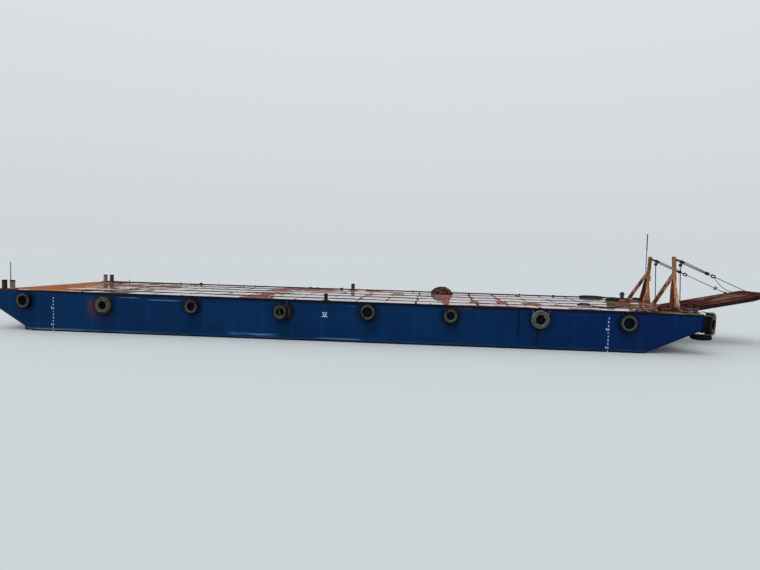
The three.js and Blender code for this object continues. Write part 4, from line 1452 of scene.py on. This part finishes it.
fallLook = {
    "x": 21.2,
    "top": 3.22,
    "radius": 0.028,
    # The lead's cheeks and the web between them: [x, z]
    "cheek": [
        (21.0, 2.75), (21.2, 2.95), (21.3, 3.12), (21.26, 3.2), (21.22, 3.22), (21.15, 3.22), (21.0, 3.09),
    ],
    "web": [(21.0, 2.76), (21.06, 2.82), (21.06, 3.08), (21.0, 3.08)],
    "axle": (21.18, 3.1),
    "sheave": [(0.02, -0.026), (0.085, -0.026), (0.07, 0), (0.085, 0.026), (0.02, 0.026)],
}


# The fall drops from the head block to a lead sheave on the sill.
def addFall(name, y):
    look = fallLook
    fallX, fallZ = tackleLook["fall"]
    top = laid(y)(np.array([[fallX, 0, fallZ]]))[0] - [0, 0, 0.06]
    path = np.linspace([look["x"], y, look["top"] - 0.03], top, 200)
    shape = ropeShape(path, look["radius"], lay=tackleLook["spliceLay"], pole=(0, 1, 0), count=8)
    node = f"fall_wire_{name}"
    piece = addPiece(pieceName(node), shape, None, "wireSteel", [node])
    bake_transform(piece)
    x, z = look["axle"]
    lead = merge(
        slab(look["cheek"], y - 0.05, y - 0.035),
        slab(look["cheek"], y + 0.035, y + 0.05),
        slab(look["web"], y - 0.036, y + 0.036),
        turned(look["sheave"], (x, y, z), 28, axis=1),
        bar([x, y - 0.062, z], [x, y + 0.062, z], 0.02, 12, (0, 0, 1)),
    )
    node = f"fall_lead_{name}"
    addPiece(pieceName(node), lead, "root", "tackleSteel", [node], bevel=0.003)


# A rope left lying in bights over a patch of deck: long rings side by side, three to a
# layer, each layer turned a little from the one it lies on and its middle pushed up.
def flakedPath(look):
    random = np.random.default_rng(look["seed"])
    (cx, cy), (long, wide) = look["centre"], look["half"]
    low = barge["deckZ"] + look["radius"] * 1.02
    gap = look["radius"] * 2.3
    runs = look["runs"]
    turns = random.uniform(-0.3, 0.3, runs)
    knots = []
    for run in range(runs):
        hand = 1 if run % 2 == 0 else -1
        ring, layer = (run // 2) % 3, run // 6
        reach = long * 0.6 + gap * ring
        across = hand * (wide * 0.5 + gap * ring)
        lift = look["rise"] * layer / max(1, runs // 6) * random.uniform(0.5, 1)
        spots = [(-hand * reach, across, 0.3), (0, across, 1), (hand * reach, across, 0.3)]
        if run < runs - 1:
            spots.append((hand * (reach + long * 0.3), 0, 0))
        for u, v, high in spots:
            u, v = u + random.uniform(-0.2, 0.2) * gap, v + random.uniform(-0.2, 0.2) * gap
            x = cx + u * math.cos(turns[layer]) - v * math.sin(turns[layer])
            y = cy + u * math.sin(turns[layer]) + v * math.cos(turns[layer])
            knots.append([x, y, low + layer * look["radius"] * 2.2 + lift * high])
    knots += [[x, y, low] for x, y in look["tail"]]
    path = smoothPath(knots, len(knots) * 12)
    path = evenPath(path, int(pathLength(path) / look["radius"]))
    for _ in range(look["ease"]):
        path[1:-1] = (path[:-2] + 2 * path[1:-1] + path[2:]) / 4
    path[:, 2] = np.maximum(path[:, 2], low)
    return path


# Loose ropes: their bights' centre and half sizes, how many runs and how high they heap,
# how often their path is eased, and where the tail leads.
looseRopes = {
    "ropeBowEdge": {
        "centre": (18.1, -5.27), "half": (0.7, 0.36), "runs": 7, "rise": 0.05, "radius": 0.026, "seed": 31,
        "finish": "heapRope", "ease": 24, "tail": [],
    },
    "ropeBowPost": {
        "centre": (19.6, -4.2), "half": (0.5, 0.5), "runs": 17, "rise": 0.16, "radius": 0.028, "seed": 34,
        "finish": "heapRope", "ease": 60, "tail": [(20.4, -3.3), (20.45, -2.85)],
    },
    "ropeBowFar": {
        "centre": (17.8, 5.1), "half": (0.8, 0.46), "runs": 11, "rise": 0.03, "radius": 0.034, "seed": 32,
        "finish": "mossyRope", "ease": 60, "tail": [(19.3, 4.9), (19.6, 4.2)],
    },
    "ropeMidships": {
        "centre": (1.4, 5.2), "half": (0.4, 0.3), "runs": 5, "rise": 0.2, "radius": 0.03, "seed": 33,
        "finish": "heapRope", "ease": 16, "tail": [(2.2, 4.9), (2.3, 4.1)],
    },
    "ropeAcross": {
        "centre": (15.7, -1.2), "half": (0.35, 0.3), "runs": 2, "rise": 0.0, "radius": 0.03, "seed": 35,
        "finish": "tarredRope", "ease": 16, "tail": [
            (15.15, -1.9), (15.5, -2.7), (16.1, -3.3), (16.6, -3.6),
            (17.2, -3.0), (17.9, -2.2), (18.4, -2.2), (18.7, -2.8),
        ],
    },
}


def addLooseRopes():
    for name, look in looseRopes.items():
        path = flakedPath(look)
        path = evenPath(path, int(pathLength(path) / (look["radius"] * 0.9)))
        shape = ropeShape(path, look["radius"], count=9)
        piece = addPiece(name, shape, "root", look["finish"])


# Small pins and cleats welded along both edges: [x, side, height, how wide]
edgePins = [
    (-18.6, 1, 0.24, 0.035), (-14.2, 1, 0.14, 0.05), (-13.3, 1, 0.1, 0.04), (-12.5, 1, 0.16, 0.11),
    (-8.95, 1, 0.1, 0.04), (-8.0, 1, 0.1, 0.04), (-3.5, 1, 0.1, 0.12), (-2.9, 1, 0.1, 0.1),
    (-1.0, 1, 0.12, 0.12), (4.6, 1, 0.12, 0.05), (11.8, 1, 0.08, 0.05), (12.7, 1, 0.12, 0.06),
    (15.2, 1, 0.1, 0.1), (-15.1, -1, 0.06, 0.05), (6.1, -1, 0.06, 0.05),
]


def addEdgePins():
    shapes = []
    for x, side, tall, wide in edgePins:
        y = side * (barge["halfBeam"] - 0.3)
        deck = barge["deckZ"] - 0.002
        profile = [
            (wide * 1.6, deck), (wide * 1.6, deck + 0.012), (wide * 0.5, deck + 0.02),
            (wide * 0.5, deck + tall - 0.02), (wide * 0.7, deck + tall - 0.01), (wide * 0.4, deck + tall),
        ]
        shapes.append(turned(profile, (x, y, 0), 14))
        shapes.append(bar([x - wide, y, deck + tall * 0.6], [x + wide, y, deck + tall * 0.6], wide * 0.3, 10))
    addPiece("edgePins", merge(*shapes), "root", "darkSteel")


bittsTurns = {
    "x": 20.36,
    "y": -5.3,
    "z": 3.14,
    "spread": 0.255,
    "post": 0.13,
    "radius": 0.017,
    "count": 2,
    "step": 0.14,
}
lashings = {
    "angles": (-40, -12, 14, 42, 150, 205),
    "radius": 0.013,
    "padDepth": 0.24,
    "padWidth": 0.38,
    "padZ": (1.98, 2.96),
}


# Rope made fast on the near bow bitts in crossed turns.
def addBittsTurns():
    look = bittsTurns
    turns = []
    reach = look["post"] + look["radius"]
    t = around(96)
    lobe = np.cos(t)
    for turn in range(look["count"]):
        bulge = np.sign(lobe) * reach * np.clip(np.abs(lobe) * 1.9 - 1, 0, 1)
        loop = np.stack([
            look["x"] + look["spread"] * np.clip(lobe * 1.9, -1, 1) + bulge,
            look["y"] + reach * np.sin(2 * t) * 0.98,
            look["z"] + turn * look["step"] + 0.05 * np.sin(t * 2 + turn),
        ], axis=1)
        turns.append(torus(loop, look["radius"], (0, 0, 1), 8))
    addPiece("bittsTurns", merge(*turns), "root", "paleRope")


# Lashings hold each corner pair together, and a rubber pad stands between it and the transom.
def addLashings(name, side):
    look = lashings
    shapes = []
    turn, corner = atCorner(side)
    width = bowStack["width"] * 2
    outer, inner = bowStack["radius"] + 0.008, bowStack["hole"] - 0.012
    # [distance from the tyres' middle, along their axle]
    rounds = [
        (outer, 0.03), (outer, width - 0.05), (0.48, width + 0.012),
        (inner, width - 0.06), (inner, 0.05), (0.45, 0.012), (outer, 0.03),
    ]
    for angle in look["angles"]:
        a = math.radians(angle)
        rim = np.array([math.sin(a), 0, math.cos(a)])
        loop = np.array([rim * reach + [side * bowStack["along"], y, 0] for reach, y in rounds])
        ring = smoothPath(loop, 49)[:-1] @ turn.T + corner
        shapes.append(torus(ring, look["radius"], np.cross(rim, [0, 1, 0]) @ turn.T, 7))
    addPiece(f"cornerLashings{name.title()}", merge(*shapes), "root", "paleRope")

    edge, out = barge["halfLength"] + 0.004, barge["halfBeam"] - 0.03
    pad = [(edge, -out), (edge + look["padDepth"], look["padWidth"] - out), (edge, look["padWidth"] - out)]
    pad = [(x, -side * y) for x, y in pad][::-side]
    shape = moved(slab(pad, *look["padZ"]), lambda p: p[:, [0, 2, 1]])
    addPiece(f"cornerPad{name.title()}", shape, "root", "tyreRubber")


# Corner ropes: [points from the bow deck's edge to the pair], and [foot, head] up from the low tyre
cornerRopes = {
    "upper": [
        ((20.62, 5.72, 3.06), (20.96, 5.62, 3.1)),
        ((20.7, 5.4, 3.03), (21.16, 5.36, 3.08)),
    ],
    "upperRadius": 0.018,
    "lower": [
        ((20.8, 5.2, 1.66), (20.9, 5.25, 2.0)),
        ((21.2, 5.35, 1.66), (21.3, 5.4, 2.0)),
    ],
    "lowerRadius": 0.014,
}


# The corner pair hangs from the bow deck edge by two ropes, and the low tyre from the pair.
def addCornerRope(name, side):
    look = cornerRopes
    mirror = [1, side, 1]
    shapes = []
    for start, end in look["upper"]:
        start, end = np.array(start), np.array(end)
        middle = (start + end) / 2
        middle[2] = max(start[2], end[2]) + 0.02
        path = smoothPath([start, middle, end, end + [0.1, -0.05, -0.08]], 40)
        shapes.append(ropeShape(path * mirror, look["upperRadius"], count=9))
    for foot, head in look["lower"]:
        path = np.linspace(foot, head, 30)
        shapes.append(ropeShape(path * mirror, look["lowerRadius"], pole=(1, 0, 0), count=8))
    addPiece(f"cornerRopes{name.title()}", merge(*shapes), "root", "tarredRope")


# The near pendant's slack tail hangs in a bight below it, and the far one carries a hook.
def addSlackTail():
    look = {
        "radius": 0.02,
        "from": 2.36,
        "to": 4.3,
        "sag": 0.42,
        "hook": {"x": 4.45, "z": 0.03, "bend": 0.08, "radius": 0.032},
        "stem": {"ends": ([4.4, 0, -0.12], [4.53, 0, 0.03]), "radius": 0.036},
    }
    for name, side in sides:
        place = laid(side * tackleLook["y"])
        if side < 0:
            t = np.linspace(0, 1, 90)
            along = look["from"] + (look["to"] - look["from"]) * t
            ends = place(np.stack([along, np.zeros(90), np.full(90, -0.02)], axis=1))
            ends[:, 2] -= look["sag"] * (4 * t * (1 - t)) * (1.25 - 0.5 * t)
            shape = ropeShape(ends, look["radius"], pole=(0, 1, 0), count=8)
            piece = addPiece("slackTail", shape, f"pendant_{name}", "wireSteel")
            scaled = ends * modelScale
            print(f"slackTail: {pathLength(scaled):.2f} m of wire on the model")
        else:
            hook, stem = look["hook"], look["stem"]
            t = np.linspace(0, 1.5 * math.pi, 30)
            x, z = hook["x"] + hook["bend"] * np.cos(t), hook["z"] + hook["bend"] * np.sin(t)
            bend = np.stack([x, np.zeros(30), z], axis=1)
            shape = merge(
                sweep(bend, circle(hook["radius"], 8), (0, 1, 0)),
                sweep(np.linspace(*stem["ends"], 6), circle(stem["radius"], 8), (0, 1, 0)),
            )
            addPiece("pendantHook", moved(shape, place), f"pendant_{name}", "tackleSteel")


# Draught marks: plain figures every 0.2 m up both ends' sides, and a wide one at each metre.
# A figure is strokes on a grid 2 wide and 4 high: [from x, from z, to x, to z]
figures = {
    "2": [(0, 4, 2, 4), (2, 4, 2, 2), (2, 2, 0, 2), (0, 2, 0, 0), (0, 0, 2, 0)],
    "4": [(0, 4, 0, 2), (0, 2, 2, 2), (2, 4, 2, 0)],
    "6": [(2, 4, 0, 4), (0, 4, 0, 0), (0, 0, 2, 0), (2, 0, 2, 2), (2, 2, 0, 2)],
    "8": [(0, 0, 0, 4), (2, 0, 2, 4), (0, 0, 2, 0), (0, 2, 2, 2), (0, 4, 2, 4)],
    "1": [(1, 0, 1, 4)],
    "M": [(0, 0, 0, 4), (2, 0, 2, 4), (0, 4, 1, 2), (1, 2, 2, 4)],
}


def strokeShape(stroke, left, low, size, y):
    start, end = np.array(stroke[:2], float), np.array(stroke[2:], float)
    start, end = (np.array([left, low]) + point * [size[0] / 2, size[1] / 4] for point in (start, end))
    run = unit(end - start)
    across = np.array([-run[1], run[0]]) * size[2] / 2
    reach = run * size[2] / 2
    outline = [start - reach - across, end + reach - across, end + reach + across, start - reach + across]
    return slab(outline, *y)


def addMarks():
    # A figure's size is [width, height, stroke].
    look = {
        "step": 0.2,
        "size": (0.05, 0.07, 0.03),
        "wide": (0.055, 0.08, 0.03),
        "gap": 0.045,
        "thick": 0.004,
        "places": (-16.83, 15.84),
        "bars": [(-0.125, 2.09, 0.195, 2.13), (-0.11, 2.335, 0.18, 2.352)],
        "middle": 0.035,
        "slant": [(0.004, 2.145), (0.045, 2.145), (0.13, 2.33), (0.08, 2.33)],
    }
    shapes = []
    for _, side in sides:
        y = sorted([side * (barge["halfBeam"] - 0.002), side * (barge["halfBeam"] + look["thick"])])
        for x in look["places"]:
            for count in range(3, 14):
                z = count * look["step"] - 0.04
                if z < waterAt(x) - 0.1:
                    continue
                whole = count % 5 == 0
                letters = f"{count // 5}M" if whole else str(count % 5 * 2)
                size = look["wide"] if whole else look["size"]
                pitch = size[0] + look["gap"]
                width = pitch * len(letters) - look["gap"]
                for place, letter in enumerate(letters):
                    left = place * pitch - width + 0.03
                    for stroke in figures[letter]:
                        flat = strokeShape(stroke, left, z, size, y)
                        shapes.append(moved(flat, lambda p, s=side, at=x: p * [-s, 1, 1] + [at + 0.04, 0, 0]))

        # The load mark amidships: a bar, two slanted strokes on it and a thin bar over them.
        for x0, z0, x1, z1 in look["bars"]:
            shapes.append(box([x0, y[0], z0], [x1, y[1], z1]))
        for hand in (-1, 1):
            slant = [(look["middle"] + hand * across, z) for across, z in look["slant"]][::hand]
            shapes.append(slab(slant, *y))
    addPiece("draughtMarks", merge(*shapes), "root", "markPaint")


stage = {
    "reach": 3000,
    "floor": "c4c9cb",
    "low": (0.62, 0.66, 0.68, 1),
    "high": (0.86, 0.88, 0.9, 1),
    "sun": 1.2,
    "sunWidth": 70,
    "sunTilt": (32, -14, 0),
}


# A flat floor at the waterline, a pale sky all round and a broad soft sun.
def addStage():
    corners = np.array([[-1, -1], [1, -1], [1, 1], [-1, 1]]) * stage["reach"]
    slope = barge["trim"]
    level = (barge["waterline"] - barge["trimFrom"] * barge["trim"]) * modelScale
    points = np.column_stack([corners, level + corners[:, 0] * slope])
    mesh = bpy.data.meshes.new("floor")
    mesh.from_pydata(points.tolist(), [], [[0, 1, 2, 3]])
    mesh.materials.append(plainPaint("floorPaint", stage["floor"], 0.7))
    floor = bpy.data.objects.new("floor", mesh)
    bpy.context.scene.collection.objects.link(floor)

    world = bpy.data.worlds.new("studio")
    bpy.context.scene.world = world
    world.use_nodes = True
    tree = world.node_tree
    tree.nodes.clear()
    coordinate = tree.nodes.new("ShaderNodeTexCoord")
    split = tree.nodes.new("ShaderNodeSeparateXYZ")
    ramp = tree.nodes.new("ShaderNodeValToRGB")
    light = tree.nodes.new("ShaderNodeBackground")
    output = tree.nodes.new("ShaderNodeOutputWorld")
    tree.links.new(coordinate.outputs["Generated"], split.inputs[0])
    tree.links.new(split.outputs["Z"], ramp.inputs[0])
    tree.links.new(ramp.outputs[0], light.inputs[0])
    tree.links.new(light.outputs[0], output.inputs[0])
    bpy.context.scene.view_settings.view_transform = "Standard"
    ramp.color_ramp.elements[0].color = stage["low"]
    ramp.color_ramp.elements[1].color = stage["high"]
    light.inputs["Strength"].default_value = 1.0

    sun = bpy.data.lights.new("sky", "SUN")
    sun.energy = stage["sun"]
    sun.angle = math.radians(stage["sunWidth"])
    lamp = bpy.data.objects.new("sky", sun)
    lamp.rotation_euler = [math.radians(degrees) for degrees in stage["sunTilt"]]
    bpy.context.scene.collection.objects.link(lamp)


# Old coats: [coat, faded coat, rust, deep rust, how bare, how streaked]
weatheredLooks = {
    "propPaint": ("5c2414", "7a3a22", "6b3420", "2c120c", 0.5, 1.0),
    "bracePaint": ("8a6040", "a5795a", "633a24", "2c1a10", 0.5, 1.1),
    "girderSteel": ("1d0f0c", "27150f", "351c15", "0e0807", 0.5),
    "darkSteel": ("1e1c1e", "2c2828", "4a3428", "171312", 0.5),
}
# Rubbers: [dark, worn, dust, how dusty, wall, how chalky]
rubberLooks = {
    "tyreRubber": ("0e0e10", "1a1918", "26241f", 0.3, "4f4c42"),
    "chalkyRubber": ("0e0f10", "1c1c1b", "2c2c28", 0.3, "60625a", 0.85),
    "muddyRubber": ("1b1814", "35302a", "4a4435", 0.6, "575142"),
}
# Ropes and wires: [dark, light, how wet]
ropeLooks = {
    "mossyRope": ("1d1d16", "3f3d2f"),
    "oliveRope": ("5a5238", "8a8160"),
    "tarredRope": ("1c1e24", "34363c"),
    "greyRope": ("5c6068", "8c9098"),
    "paleRope": ("8a8480", "d5d2cc"),
    "wireSteel": ("121316", "232427", 0.5),
}


def mixMaterials():
    for mixer in (
        hullPaint, deckSteel, edgePaint, bittsPaint, postPaint, rampPaint, heapFibre, tackleSteel, poleSteel,
    ):
        material = mixer()
        materials[material.name] = material
    for mixer, looks in ((weathered, weatheredLooks), (rubber, rubberLooks), (ropeFibre, ropeLooks)):
        for name, look in looks.items():
            materials[name] = mixer(name, *look)
    materials["markPaint"] = plainPaint("markPaint", "c4d8f0", 0.6)


def paintNode(node, finish):
    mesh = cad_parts[node].data
    mesh.materials.clear()
    mesh.materials.append(materials[finish])


addCamera()
mixMaterials()
print("camera and materials are ready")
for node, look in coils.items():
    addCoil(node, pieceName(node), look)
addLooseRopes()
addSlackTail()
addStage()
for node in ("hull", "skeg_starboard", "skeg_port"):
    paintNode(node, "hullPaint")
for name, _ in sides:
    paintNode(f"edge_bar_{name}", "edgePaint")
addDeck()
print("hull and deck are done")
addTyres()
addHangers()
addMooring()
addPoles()
print("fenders and deck fittings are done")
addPosts()
addRamp()
addTackles()
addMarks()
addEdgePins()
addBittsTurns()
for name, side in sides:
    addLashings(name, side)
    addCornerRope(name, side)
print("ramp and its gear are done")
